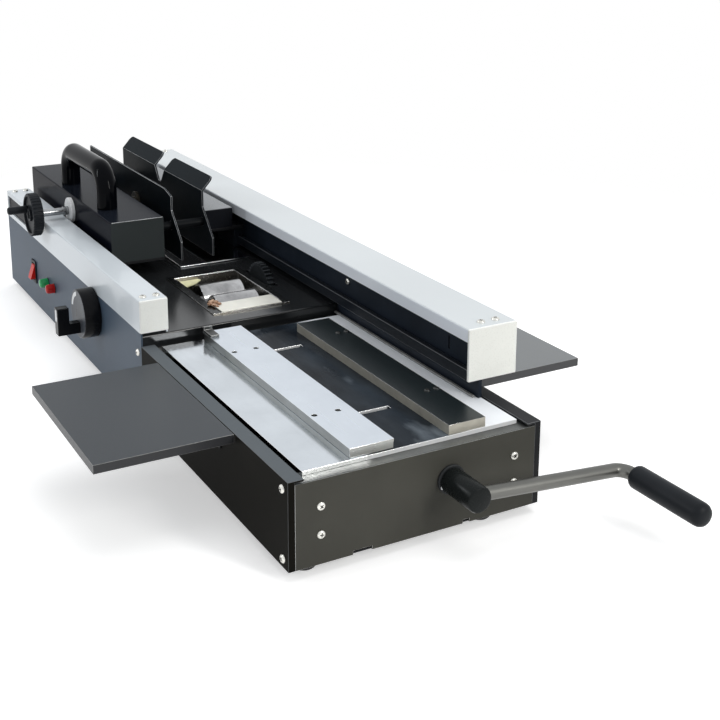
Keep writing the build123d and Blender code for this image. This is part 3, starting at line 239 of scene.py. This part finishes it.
# Painted reflection: faces that look up are painted pale grey over the dark powder coat.
rear_table_paint = finish("rear_table_paint", (0.03, 0.031, 0.034), 0.36, shade=0.12, patch=6, grain=1400,
                          bump=0.2, depth=0.0002, specular=0.5, up=(0.16, 0.17, 0.175))
# Painted highlights: pale edge finishes for the near panel, the cover stop and the trays.
bright_edge = finish("bright_edge", (0.52, 0.52, 0.51), 0.35, metal=0.5, shade=0.2, patch=80, grain=600)
table_edge = finish("table_edge", (0.24, 0.24, 0.235), 0.4, metal=0.2, shade=0.25, patch=80, grain=600)
beam_enamel = finish("beam_enamel", (0.64, 0.69, 0.73), 0.3, shade=0.02, patch=5, grain=300, bump=0.01,
                     spread=0.02, coat=0.2)
# Painted shade: faces that look up are painted greyer than the beam's other faces.
rear_enamel = finish("rear_beam_enamel", (0.86, 0.90, 0.96), 0.3, shade=0.02, patch=5, grain=300, bump=0.01,
                     spread=0.02, coat=0.2, up=(0.64, 0.68, 0.70))
cream = finish("cream_plastic", (0.94, 0.95, 0.90), 0.3, shade=0.03, patch=25, grain=600, bump=0.03)
cream_edge = finish("cream_edge", (0.93, 0.93, 0.92), 0.25, shade=0.03, patch=60, grain=600, bump=0.03)
# Painted reflection: faces that look to the crank are painted near black on the polished steel.
polished = finish("polished_steel", (0.74, 0.75, 0.77), 0.12, metal=1.0, shade=0.04, patch=9, grain=160,
                  bump=0.02, stretch=(0.05, 1, 1), spread=0.04, near=(0.09, 0.095, 0.10))
# Painted reflection: faces that look up are painted pale blue-grey, twice as light as the sides.
jaw_steel = finish("jaw_steel", (0.36, 0.365, 0.35), 0.3, metal=1.0, shade=0.12, patch=30, grain=260,
                   bump=0.008, stretch=(0.05, 1, 1), spread=0.03, up=(0.72, 0.77, 0.83))
# Painted reflection: faces that look up are painted near black over the tan steel.
right_jaw_finish = finish("right_jaw_steel", (0.44, 0.42, 0.36), 0.3, metal=0.35, shade=0.2, patch=30, grain=260,
                  bump=0.006, stretch=(0.05, 1, 1), spread=0.02, up=(0.010, 0.016, 0.018))
# Painted highlight: near-white edge finish for the steel parts, the tank and its rim strips.
edge_steel = finish("edge_steel", (0.9, 0.9, 0.9), 0.15, metal=1.0, shade=0.05, grain=400)
satin_steel = finish("satin_steel", (0.15, 0.15, 0.140), 0.38, metal=0.9, shade=0.08, patch=30, grain=900,
                     bump=0.05)
bar_steel = finish("bar_steel", (0.16, 0.165, 0.16), 0.4, metal=0.8, shade=0.2, patch=40, grain=700)
gear_steel = finish("gear_steel", (0.03, 0.034, 0.038), 0.4, metal=0.6, shade=0.2, patch=60, grain=900,
                    specular=0.2)
dark_steel = finish("dark_steel", (0.010, 0.013, 0.018), 0.35, metal=0.2, shade=0.15, grain=900,
                    specular=0.15)
rod_steel = finish("rod_steel", (0.006, 0.007, 0.008), 0.4, shade=0.2, patch=40, grain=400, specular=0.05)
screw_metal = finish("clamp_screw_steel", (0.34, 0.35, 0.36), 0.2, metal=0.9, shade=0.15, patch=60,
                     grain=400)
iron = finish("cast_iron", (0.03, 0.032, 0.034), 0.5, metal=0.3, shade=0.2, patch=90, grain=700, bump=0.3,
              depth=0.0002, specular=0.2)
hub_black = finish("hub_black", (0.010, 0.012, 0.012), 0.25, shade=0.2, grain=500, bump=0.03, specular=0.1)
matt_black = finish("matt_black_plastic", (0.013, 0.015, 0.018), 0.42, shade=0.15, grain=1500, bump=0.2,
                    depth=0.00015, specular=0.1)
gloss_black = finish("gloss_black_plastic", (0.002, 0.0024, 0.0035), 0.06, shade=0.2, grain=250, bump=0.01,
                     specular=0.045, spread=0.02)
knob_black = finish("knob_black", (0.004, 0.0045, 0.006), 0.2, shade=0.2, grain=500, bump=0.03, specular=0.1)
knob_grey = finish("knob_face", (0.065, 0.072, 0.085), 0.4, shade=0.12, grain=900, bump=0.08, specular=0.2)
white_mark = finish("white_mark", (0.78, 0.79, 0.8), 0.4, shade=0.05, grain=900)
disc_white = finish("disc_white", (0.90, 0.91, 0.92), 0.5, shade=0.12, patch=300, grain=900, bump=0.3,
                    depth=0.0003)
brass = finish("nut_metal", (0.05, 0.045, 0.035), 0.35, metal=0.8, shade=0.15, patch=50, grain=700)
# Painted reflection: faces that look up are painted near black over the bright metal.
tank_metal = finish("tank_metal", (0.36, 0.36, 0.36), 0.22, metal=0.9, shade=0.15, patch=40, grain=400,
                    bump=0.05, second=(0.22, 0.20, 0.16), up=(0.03, 0.033, 0.034))
blade_metal = finish("blade_metal", (0.80, 0.79, 0.72), 0.3, metal=0.4, shade=0.12, patch=22, grain=60,
                     bump=0.004, spread=0.03)
glue_film = finish("dried_glue", (0.62, 0.60, 0.36), 0.35, shade=0.2, patch=90, grain=500, bump=0.1)
residue = finish("burnt_glue", (0.36, 0.11, 0.025), 0.3, shade=0.5, patch=300, grain=500, bump=0.4,
                 second=(0.74, 0.52, 0.36))
roller_steel = finish("roller_steel", (0.26, 0.26, 0.265), 0.2, metal=1.0, shade=0.12, patch=40, grain=160,
                      bump=0.02, stretch=(1, 0.06, 1), second=(0.50, 0.50, 0.505))
motor_paint = finish("motor_paint", (0.05, 0.05, 0.055), 0.5, shade=0.15, patch=60, grain=900)
red_plastic = finish("red_plastic", (0.62, 0.016, 0.010), 0.25, shade=0.1, patch=90, grain=500, bump=0.02,
                     specular=0.15)
green_lens = finish("green_lens", (0.02, 0.36, 0.11), 0.15, shade=0.15, patch=200, grain=500, bump=0.02,
                    specular=0.3)
red_lens = finish("red_lens", (0.42, 0.012, 0.012), 0.15, shade=0.15, patch=200, grain=500, bump=0.02,
                  specular=0.15)
rubber = finish("foot_rubber", (0.02, 0.02, 0.021), 0.6, shade=0.2, patch=80, grain=1200, bump=0.3,
                depth=0.0002)
zinc = finish("bright_zinc", (0.74, 0.73, 0.68), 0.25, metal=1.0, shade=0.12, patch=250, grain=900)
dark_screw = finish("dark_screw", (0.05, 0.052, 0.052), 0.35, metal=0.8, shade=0.2, patch=250, grain=900)
# Painted shade: the cross recess is painted dark against the bright zinc.
recess = finish("screw_recess", (0.06, 0.058, 0.05), 0.5, metal=0.7, shade=0.2, patch=250, grain=900)


# The painted dark reflection on the base plate between the jaws, from front to rear in the frame's metres
painted_reflection_front, front_blur = -0.036, 0.004
painted_reflection_back, back_blur = 0.078, 0.012


def plate_finish():
    """Ground steel along the front strip; between the jaws a painted dark reflection with paler painted
    patches, a painted pale reflection on the rear strip, and a painted highlight on faces that look to the
    crank.
    """
    mat = finish("base_plate_steel", (0.62, 0.66, 0.70), 0.16, metal=1.0, shade=0.08, patch=14, grain=200,
                 bump=0.02, stretch=(0.05, 1, 1), spread=0.05)
    tree = (mat.node_tree.nodes, mat.node_tree.links)
    new, link = tree
    shader = new["Principled BSDF"]
    bright = shader.inputs["Base Color"].links[0].from_socket
    sway = maths(tree, "MULTIPLY", noise(tree, 9, 3), 0.03)
    waver = maths(tree, "ADD", sway, coordinate(tree, "Object", "Y"))
    front_edge = painted_reflection_front - front_blur, painted_reflection_front + front_blur
    back_edge = painted_reflection_back - back_blur, painted_reflection_back + back_blur
    behind_front, before_back = span(tree, waver, 0, 1, *front_edge), span(tree, waver, 1, 0, *back_edge)
    between = maths(tree, "MULTIPLY", behind_front, before_back)
    clouds = span(tree, noise(tree, 11, 4, (1, 2.5, 1)), 0, 1)
    pale_reflection_patches = span(tree, noise(tree, 13, 5, (0.6, 1.6, 1)), 0, 1, 0.56, 0.76)
    # Painted reflection: dark clouds between the jaws, with paler painted patches; this zone is not metal.
    dark = blend(tree, clouds, (0.003, 0.005, 0.008), (0.022, 0.030, 0.040))
    dark = blend(tree, pale_reflection_patches, dark, (0.15, 0.175, 0.20))
    zones = blend(tree, between, bright, dark)
    # Painted reflection: the rear strip is painted near white and is not metal.
    zones = blend(tree, span(tree, waver, 0, 1, *back_edge), zones, (0.90, 0.93, 0.97))
    # Painted highlight: faces that look to the crank are painted pale.
    link.new(blend(tree, facing(tree, "X"), zones, (0.74, 0.75, 0.76)), shader.inputs["Base Color"])
    link.new(span(tree, waver, 1, 0.06, *front_edge), shader.inputs["Metallic"])
    shader.inputs["Specular IOR Level"].default_value = 0.03
    return mat


plate_steel = plate_finish()


# Detailed copies of the sheet-metal nodes: rolled edges catch the light, and paler edge finishes add a
# painted highlight along them

def dressed(node, mat, width=0.0005, edge=None):
    """A copy of a CAD node with rounded edges, its own finish, and a finish for the edges, mostly a paler one
    that paints a highlight along them.
    """
    source = nodes[node]
    mesh = bpy.data.meshes.new(node + "_skin")
    work = bmesh.new()
    work.from_mesh(source.data)
    bmesh.ops.remove_doubles(work, verts=work.verts, dist=2e-6)
    bmesh.ops.dissolve_limit(work, angle_limit=radians(0.4), verts=work.verts, edges=work.edges)
    for face in work.faces:
        face.smooth = True
        face.material_index = 0
    work.to_mesh(mesh)
    work.free()
    mesh.set_sharp_from_angle(angle=radians(32))
    piece = bpy.data.objects.new(node + "_skin", mesh)
    bpy.context.scene.collection.objects.link(piece)
    mesh.materials.append(mat)
    if width:
        bevel = piece.modifiers.new("rolled_edge", "BEVEL")
        bevel.width = width
        bevel.segments = 2
        bevel.limit_method = "ANGLE"
        bevel.angle_limit = radians(40)
        bevel.use_clamp_overlap = True
        even = piece.modifiers.new("even_shading", "WEIGHTED_NORMAL")
        even.keep_sharp = True
        if edge:
            mesh.materials.append(edge)
            bevel.material = 1
    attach(piece, nodes[node]["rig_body"])
    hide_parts(node)
    return piece


dressed("case_front_panel", case_paint, 0.0005, powder_edge)
dressed("rear_panel", powder, 0.0005, powder_edge)
dressed("deck_plate", deck_paint, 0.0009)
dressed("station_front_panel", station_paint, 0.0006, powder_edge)
dressed("station_near_panel", near_paint, 0.0007, bright_edge)
dressed("base_pan", powder, 0.0005)
dressed("rear_rail_wall", wall_paint, 0.0005)
dressed("front_rail", powder, 0.0005)
dressed("carriage_cover", box_paint, 0.0006)
dressed("rear_box", rear_box_paint, 0.0006)
dressed("carriage_frame", powder, 0.0006)
dressed("tray_brackets", powder, 0.0003)
dressed("front_tray", table_paint, 0.0006, table_edge)
dressed("rear_tray", rear_table_paint, 0.0006, table_edge)
dressed("front_jaw", clamp_paint, 0.0004, clamp_edge)
dressed("back_jaw", clamp_paint, 0.0004, clamp_edge)
dressed("front_beam_cover", beam_enamel, 0.0006)
dressed("rear_beam_cover", rear_enamel, 0.0006)
dressed("beam_caps", cream, 0.0006, cream_edge)
dressed("spine_plate", polished, 0.0005, edge_steel)
dressed("station_base_plate", plate_steel, 0.0003, edge_steel)
dressed("left_nip_jaw", jaw_steel, 0.0005, edge_steel)
dressed("right_nip_jaw", right_jaw_finish, 0.0005, edge_steel)
dressed("cover_stop", dark_screw, 0.0003, bright_edge)
dressed("cross_bars", bar_steel, 0.0004)
dressed("rear_rail", dark_steel, 0.0005, powder_edge)
dressed("slide_blocks", dark_steel, 0.0005)
dressed("glue_tank", tank_metal, 0.0006, edge_steel)
dressed("heater_plate", tank_metal, 0.0004)
dressed("doctor_blade", blade_metal, 0.0003)
dressed("roller_motor", motor_paint, 0.0006)
dressed("rocker_bezel", matt_black, 0.0004)
dressed("rocker_button", red_plastic, 0.0006)
dressed("power_inlet", matt_black, 0.0003)
dressed("crank_bearings", iron, 0.0006)
dressed("jaw_racks", gear_steel, 0.0003)
dressed("hinge_pins", satin_steel, 0.0003)
dressed("clamp_nut", brass, 0.0004)
dressed("drive_gear", gear_steel, 0.0002)
dressed("idler_gear", gear_steel, 0.0002)
dressed("driven_gear", gear_steel, 0.0002)
dressed("motor_pinion", gear_steel, 0.0002)
dressed("crank_pinions", gear_steel, 0.0002)
dressed("glue_roller_1", roller_steel, 0.0006)
dressed("glue_roller_2", roller_steel, 0.0006)
dressed("guide_rods", rod_steel, 0.0005)
dressed("hand_screw", screw_metal, 0.0004)
dressed("crank_shaft", satin_steel, 0.0005)
dressed("crank_arm", satin_steel, 0.0)
dressed("carriage_handle", gloss_black, 0.0)


# Turned pieces

def turned(name, rings, centre, axis, mats, body, stands_for=None, steps=64, edge=None):
    """A turned piece. rings: (distance along the axis, radius or function of the angle, material)."""
    axis = Vector(axis).normalized()
    side = axis.orthogonal().normalized() if edge is None else Vector(edge).normalized()
    other = axis.cross(side)
    work = bmesh.new()
    loops = []
    angles = [2 * pi * k / steps for k in range(steps)] if isinstance(steps, int) else steps
    for out, radius, _ in rings:
        loop = []
        for a in angles:
            spoke = (side * cos(a) + other * sin(a)) * (radius(a) if callable(radius) else radius)
            loop.append(work.verts.new(centre + (axis * out + spoke) / 1000))
        loops.append(loop)
    count = len(angles)
    for index in range(len(loops) - 1):
        for k in range(count):
            face = work.faces.new((loops[index][k], loops[index][(k + 1) % count],
                                   loops[index + 1][(k + 1) % count], loops[index + 1][k]))
            face.smooth = True
            face.material_index = rings[index + 1][2]
    for loop, mat_index in ((loops[0], rings[0][2]), (loops[-1], rings[-1][2])):
        face = work.faces.new(loop)
        face.material_index = mat_index
    bmesh.ops.recalc_face_normals(work, faces=work.faces)
    mesh = bpy.data.meshes.new(name)
    work.to_mesh(mesh)
    work.free()
    mesh.set_sharp_from_angle(angle=radians(35))
    for mat in mats:
        mesh.materials.append(mat)
    piece = bpy.data.objects.new(name, mesh)
    bpy.context.scene.collection.objects.link(piece)
    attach(piece, body)
    if stands_for:
        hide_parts(stands_for)
    return piece


# Crank hub with its small white dot, and the domed grip
crank_y, crank_z = 171, 61
crank_reach, crank_dip = 181, radians(5)
turned("crank_hub_turned", [(0, 12.2, 0), (0.8, 13, 0), (44.5, 13, 0), (46.3, 12.2, 0), (47, 10.5, 0)],
       at(3.3, crank_y, crank_z), along, [hub_black], "crank", "crank_hub")
turned("flange_dot", [(3, 2.2, 0), (3.25, 1.8, 0)], at(0, crank_y - 10.5, crank_z - 5.5), along, [white_mark],
       "base", steps=24)
grip_centre = at(57, crank_y + crank_reach * cos(crank_dip), crank_z - crank_reach * sin(crank_dip))
turned("crank_grip_turned",
       [(0, 9.5, 0), (0.8, 11.2, 0), (2.4, 11.9, 0), (5, 12, 0), (40, 12, 0), (86, 12, 0), (89.5, 11.6, 0),
        (92.5, 10, 0), (94.3, 7, 0), (95, 3, 0)],
       grip_centre, along, [matt_black], "grip", "crank_grip")

# Handwheel with a knurled rim, and its stub
wheel_x, wheel_z = -781.5, 162.7
wheel_centre = at(wheel_x, -20, wheel_z)
stub_out, stub_angle = 16, radians(163)
knurl_count = 36
steps_per_knurl = 8


def knurl(a):
    """The rim's radius at an angle: ridges with grooves of the same width."""
    return 30 if (a * knurl_count / pi) % 2 < 1 else 29.04


turned("handwheel_turned",
       [(3, 5.05, 0), (0.2, 6.5, 0), (0, 8.6, 0), (0.4, 9, 0), (3, 9, 0), (3, 25.6, 0), (0.5, 26, 0),
        (0, 26.6, 0), (0, 28.2, 0), (1.2, knurl, 0), (13.2, knurl, 0), (14.5, 28.2, 0), (14.5, 20, 0),
        (11, 19, 0), (11, 12, 0), (14.5, 11, 0), (14.5, 5.05, 0)],
       wheel_centre, rearward, [matt_black], "clamp_screw", "handwheel",
       steps=knurl_count * steps_per_knurl)
stub_centre = at(wheel_x + stub_out * cos(stub_angle), -20, wheel_z + stub_out * sin(stub_angle))
turned("wheel_stub_turned",
       [(2.7, 4.9, 0), (2.2, 5.4, 0), (-22, 5.4, 0), (-24, 4.9, 0), (-25, 3.2, 0)],
       stub_centre, rearward, [matt_black], "wheel_grip", "wheel_stub", steps=48)
turned("screw_disc_turned",
       [(0, 5.05, 0), (0, 18, 0), (-4.2, 18, 0), (-5, 17.2, 0), (-5, 5.05, 0)],
       at(wheel_x, 41, wheel_z), rearward, [disc_white], "carriage", "screw_disc")

# Pilot lamps
for name, x, z, lens in (("green_lamp", -775, 63, green_lens), ("red_lamp", -742, 64, red_lens)):
    turned(name + "_turned",
           [(18, 5, 0), (0, 5, 0), (0, 7.2, 1), (-0.7, 7.2, 1), (-1, 6.9, 1), (-1, 6.5, 0), (-8.5, 6.5, 0),
            (-11, 5.8, 0), (-12.1, 4.2, 0), (-12.5, 1.8, 0)],
           at(x, 0, z), rearward, [lens, matt_black], "base", name, steps=48)

# Rubber feet, each with its screw in a recess
for index, (x, y) in enumerate([(x, y) for x in (-22, -380, -968) for y in (26, 220)]):
    foot = turned(f"foot_{index + 1}",
                  [(10, 12, 0), (3, 12, 0), (1, 11.4, 0), (0, 10.4, 0), (0, 5.2, 0), (3.5, 4.8, 0),
                   (3.5, 3.0, 1), (3.0, 2.0, 1)],
                  at(x, y, 0), upward, [rubber, zinc], "base", steps=48)
    if index == 0:
        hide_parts("feet")


# Screws with a cross recess

def cross(reach, half):
    """The radius of a cross-shaped recess at an angle."""
    def radius(a):
        c, s = abs(cos(a)), abs(sin(a))
        first = min(reach / max(c, 1e-6), half / max(s, 1e-6))
        second = min(reach / max(s, 1e-6), half / max(c, 1e-6))
        return max(first, second)
    return radius


# The head's circle is cut where the cross has its corners and twice between them
recess_corner = atan2(0.5, 2.1)
cross_angles = [quarter * pi / 2 + step for quarter in range(4)
                for step in (-recess_corner, 0, recess_corner, radians(28), pi / 4, radians(62))]


def screw(name, point, axis, head, tall, spin=0.0, metal=zinc):
    """A pan head with a cross recess."""
    axis = Vector(axis)
    side = Matrix.Rotation(spin, 3, axis) @ axis.orthogonal().normalized()
    wide, narrow = cross(head * 0.48, head * 0.12), cross(head * 0.36, head * 0.08)
    return turned(
        name,
        [(0, head, 0), (tall * 0.35, head, 0), (tall * 0.7, head * 0.9, 0), (tall * 0.92, head * 0.72, 0),
         (tall, head * 0.54, 0), (tall, wide, 0), (tall * 0.35, narrow, 1)],
        point, axis, [metal, recess], "base", steps=cross_angles, edge=side)


pan_head = (4.3, 2.4, zinc)
jaw_head = (3.3, 1.6, dark_screw)
near_screws = [(at(0, y, z), along, pan_head) for y in (32.6, 244.7) for z in (68, 40)]
front_screws = [(at(x, 0, z), ahead, pan_head) for x in (-10.5, -390.5) for z in (88, 19.5)]
front_cap_screws = [(at(x, y, 151.4), upward, pan_head) for x in (-395, -975) for y in (9, 25)]
rear_cap_screws = [(at(x, y, 175), upward, pan_head) for x in (-87, -1047) for y in (262, 280)]
wall_screw = [(at(-353, 253, 145), ahead, pan_head)]
jaw_screws = [(at(x, y, 108), upward, jaw_head) for x in (-97, -289) for y in (205, 216)]
screws = near_screws + front_screws + front_cap_screws + rear_cap_screws + wall_screw + jaw_screws
for index, (point, axis, (head, tall, metal)) in enumerate(screws):
    piece = screw(f"screw_{index + 1}", point, axis, head, tall, index * 0.7, metal)
    if index == 0:
        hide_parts("panel_screws")


# Pieces cut from an outline

def slab(name, outline, origin, across, up, out, thick, mat, body, bevel=0.0):
    """An outline in millimetres, drawn along two directions from a point and thickened along a third."""
    across, up, out = Vector(across), Vector(up), Vector(out)
    work = bmesh.new()
    loops = [
        [work.verts.new(origin + (across * u + up * v + out * w) / 1000) for u, v in outline]
        for w in (0, thick)
    ]
    count = len(outline)
    for k in range(count):
        work.faces.new((loops[0][k], loops[0][(k + 1) % count], loops[1][(k + 1) % count], loops[1][k]))
    work.faces.new(loops[0])
    work.faces.new(loops[1])
    bmesh.ops.recalc_face_normals(work, faces=work.faces)
    for face in work.faces:
        face.smooth = True
    mesh = bpy.data.meshes.new(name)
    work.to_mesh(mesh)
    work.free()
    mesh.set_sharp_from_angle(angle=radians(35))
    mesh.materials.append(mat)
    piece = bpy.data.objects.new(name, mesh)
    bpy.context.scene.collection.objects.link(piece)
    if bevel:
        mod = piece.modifiers.new("soft_edge", "BEVEL")
        mod.width = bevel
        mod.segments = 3
        mod.limit_method = "ANGLE"
        mod.angle_limit = radians(50)
    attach(piece, body)
    return piece


def rounded(width, height, corner):
    """The outline of a rectangle with round corners."""
    points = []
    for cx, cy, start in ((1, 1, 0), (-1, 1, 90), (-1, -1, 180), (1, -1, 270)):
        for k in range(5):
            a = radians(start + 22.5 * k)
            points.append((cx * (width / 2 - corner) + corner * cos(a),
                           cy * (height / 2 - corner) + corner * sin(a)))
    return points


# Dial knob: skirt with a grey face, grip on a ledge with a white pointer, dark slot and a white arc
knob_centre = at(-556, 0, 87)
skirt_radius, skirt_face = 31.5, 20.5
grip_low, ledge, grip_top = -23.4, -9.6, 11.8
grip_in, ledge_out, grip_out = 20.5, 34.1, 48.8
grip_half = 6.9
turned(
    "knob_skirt",
    [(12, 4, 0), (-1, 4, 0), (-1, skirt_radius, 0), (-19, skirt_radius, 0), (-skirt_face, 30.9, 0),
     (-21, 30, 0), (-21, 29, 1), (-20.7, 27.5, 1), (-20.7, 4, 1)],
    knob_centre, rearward, [knob_black, knob_grey], "knob", "dial_knob", steps=96)
slab("knob_grip", [(grip_in, grip_low), (grip_out, grip_low), (grip_out, grip_top), (ledge_out, grip_top),
                   (ledge_out, ledge), (grip_in, ledge)],
     knob_centre + Vector((-grip_half, 0, 0)) / 1000, ahead, upward, along, grip_half * 2, knob_black,
     "knob", 0.001)


def knob_mark(name, outline, x, out, z, thick, mat):
    """A flat mark on the knob, placed from its centre."""
    slab(name, outline, knob_centre + Vector((x, -out, z)) / 1000, along, upward, ahead, thick, mat,
         "knob")


# A white arc on the knob's face.
white_arc_outline = [(radius * cos(radians(a)), radius * sin(radians(a)))
             for radius, angles in ((29.2, range(100, 171, 5)), (22.5, range(165, 104, -5))) for a in angles]
knob_mark("knob_pointer", rounded(7, 15, 2), 0, 48.7, 2, 0.3, white_mark)
knob_mark("knob_slot", rounded(3, 13, 1.4), -7.8, skirt_face, 0.5, 0.25, knob_black)
knob_mark("knob_white_arc", white_arc_outline, 0, skirt_face, 0, 0.3, white_mark)

# Painted highlights: thin bright strips on the tank's rim and on the carriage box's top edge; a strip at the
# foot of the wall
tank_far, tank_front, rim_z = -561.0, 109.5, 111.9
# Painted highlights along the tank's rim edges.
slab("tank_rim_highlight_far", rounded(1.4, 0.9, 0.3), at(tank_far, tank_front, rim_z), along, upward, rearward, 84,
     edge_steel, "base")
slab("tank_rim_highlight_rear", rounded(1.6, 1.0, 0.3), at(tank_far - 1, 193.2, rim_z), rearward, upward, along, 140,
     edge_steel, "base")
# Painted highlight along the carriage box's top near edge.
slab("box_edge_highlight", rounded(0.9, 0.9, 0.3), at(-604.4, 42.5, 184.5), along, upward, rearward, 69,
     clamp_edge, "carriage")
slab("wall_foot_strip", rounded(3.2, 2.4, 0.5), at(-379, 249.5, 99.2), rearward, upward, along, 300,
     table_edge, "base")

# Dried glue in the tank's corner and burnt crumbs by the blade
slab("glue_in_corner", [(0, 0), (26, 3), (17, 21), (5, 32), (0, 30)], at(-559.8, 111.4, 106), along, rearward,
     upward, 1.5, glue_film, "base", 0.0004)


def crumbs(name, places, mat, body):
    """Lumps of dried glue, each given by its centre and radius in millimetres."""
    work = bmesh.new()
    for x, y, z, radius in places:
        centre = at(x, y, z)
        lump = bmesh.ops.create_icosphere(work, subdivisions=3, radius=radius / 1000)
        for vert in lump["verts"]:
            swell = 1 + 0.45 * ripple.noise((vert.co + centre) * 700)
            vert.co = centre + Vector((vert.co.x, vert.co.y, vert.co.z * 0.6)) * swell
    for face in work.faces:
        face.smooth = True
    mesh = bpy.data.meshes.new(name)
    work.to_mesh(mesh)
    work.free()
    mesh.materials.append(mat)
    piece = bpy.data.objects.new(name, mesh)
    bpy.context.scene.collection.objects.link(piece)
    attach(piece, body)


crumbs("burnt_glue_crumbs",
       [(-446, 113, 114, 3.4), (-440, 109, 113.6, 3), (-441, 117, 114.4, 3.6), (-434, 112, 113.6, 2.8),
        (-435, 119, 114, 2.6), (-429, 114, 113.4, 2.2), (-451, 117, 113.5, 2.4)],
       residue, "base")

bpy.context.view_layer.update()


# Studio

floor_half = 14
floor_lift = 0.45
fade_start, fade_stop = 0.75, 1.3
world_fill = 0.5


def seen(tree, *rays):
    """1 for rays of the named kinds, 0 for the others."""
    path = tree[0].new("ShaderNodeLightPath")
    value = path.outputs[rays[0]]
    for ray in rays[1:]:
        value = maths(tree, "MAXIMUM", value, path.outputs[ray])
    return value


def floor_finish():
    """Pale floor, lifted to white for the camera and reflections, that runs into the backdrop far off."""
    mat = bpy.data.materials.new("floor_white")
    tree = links(mat)
    new, link = tree
    shader = new["Principled BSDF"]
    shader.inputs["Base Color"].default_value = (0.86, 0.86, 0.86, 1)
    shader.inputs["Roughness"].default_value = 0.7
    shader.inputs["Specular IOR Level"].default_value = 0.1
    watched = seen(tree, "Is Camera Ray", "Is Glossy Ray")
    glow = new.new("ShaderNodeEmission")
    link.new(maths(tree, "MULTIPLY", watched, floor_lift), glow.inputs["Strength"])
    shaded = new.new("ShaderNodeAddShader")
    link.new(shader.outputs[0], shaded.inputs[0])
    link.new(glow.outputs[0], shaded.inputs[1])
    backdrop = new.new("ShaderNodeEmission")
    link.new(watched, backdrop.inputs["Strength"])
    place = new.new("ShaderNodeNewGeometry")
    reach = new.new("ShaderNodeVectorMath")
    reach.operation = "LENGTH"
    link.new(place.outputs["Position"], reach.inputs[0])
    whole = new.new("ShaderNodeMixShader")
    link.new(span(tree, reach.outputs["Value"], 0, 1, fade_start, fade_stop), whole.inputs[0])
    link.new(shaded.outputs[0], whole.inputs[1])
    link.new(backdrop.outputs[0], whole.inputs[2])
    link.new(whole.outputs[0], new["Material Output"].inputs["Surface"])
    return mat


def stage():
    """A plain pale floor and a world that is white to the camera, to metal and to glass."""
    mesh = bpy.data.meshes.new("floor")
    work = bmesh.new()
    bmesh.ops.create_grid(work, x_segments=8, y_segments=8, size=floor_half)
    work.to_mesh(mesh)
    work.free()
    floor = bpy.data.objects.new("floor", mesh)
    bpy.context.scene.collection.objects.link(floor)
    mesh.materials.append(floor_finish())

    world = bpy.data.worlds.new("studio")
    bpy.context.scene.world = world
    world.use_nodes = True
    tree = (world.node_tree.nodes, world.node_tree.links)
    back = tree[0]["Background"]
    back.inputs["Color"].default_value = (0.97, 0.985, 1, 1)
    watched = seen(tree, "Is Camera Ray", "Is Glossy Ray", "Is Transmission Ray")
    tree[1].new(span(tree, watched, world_fill, 1, 0, 1), back.inputs["Strength"])


stage()


def lamp(name, place, target, size, power, tint=(1, 1, 1), mirrored=True):
    """A rectangular lamp aimed at a point; one that isn't mirrored stays out of reflections."""
    data = bpy.data.lights.new(name, "AREA")
    data.shape = "RECTANGLE"
    data.size, data.size_y = size
    data.energy = power
    data.color = tint
    light = bpy.data.objects.new(name, data)
    aim = Vector(target) - Vector(place)
    light.matrix_world = Matrix.Translation(place) @ aim.to_track_quat("-Z", "Y").to_matrix().to_4x4()
    light.visible_glossy = mirrored
    bpy.context.scene.collection.objects.link(light)


lamp("top_soft", (-0.2, 0.5, 2.6), (0, 0, 0), (2.6, 2.0), 32, mirrored=False)
lamp("right_strip", (2.6, 0.9, 1.3), (0.3, 0, 0.05), (0.4, 1.6), 29, (1, 0.985, 0.95))
lamp("left_strip", (-1.2, -2.4, 1.5), (-0.5, -0.1, 0.1), (0.07, 1.3), 16, (0.93, 0.97, 1))

bpy.context.scene.view_settings.view_transform = "Standard"
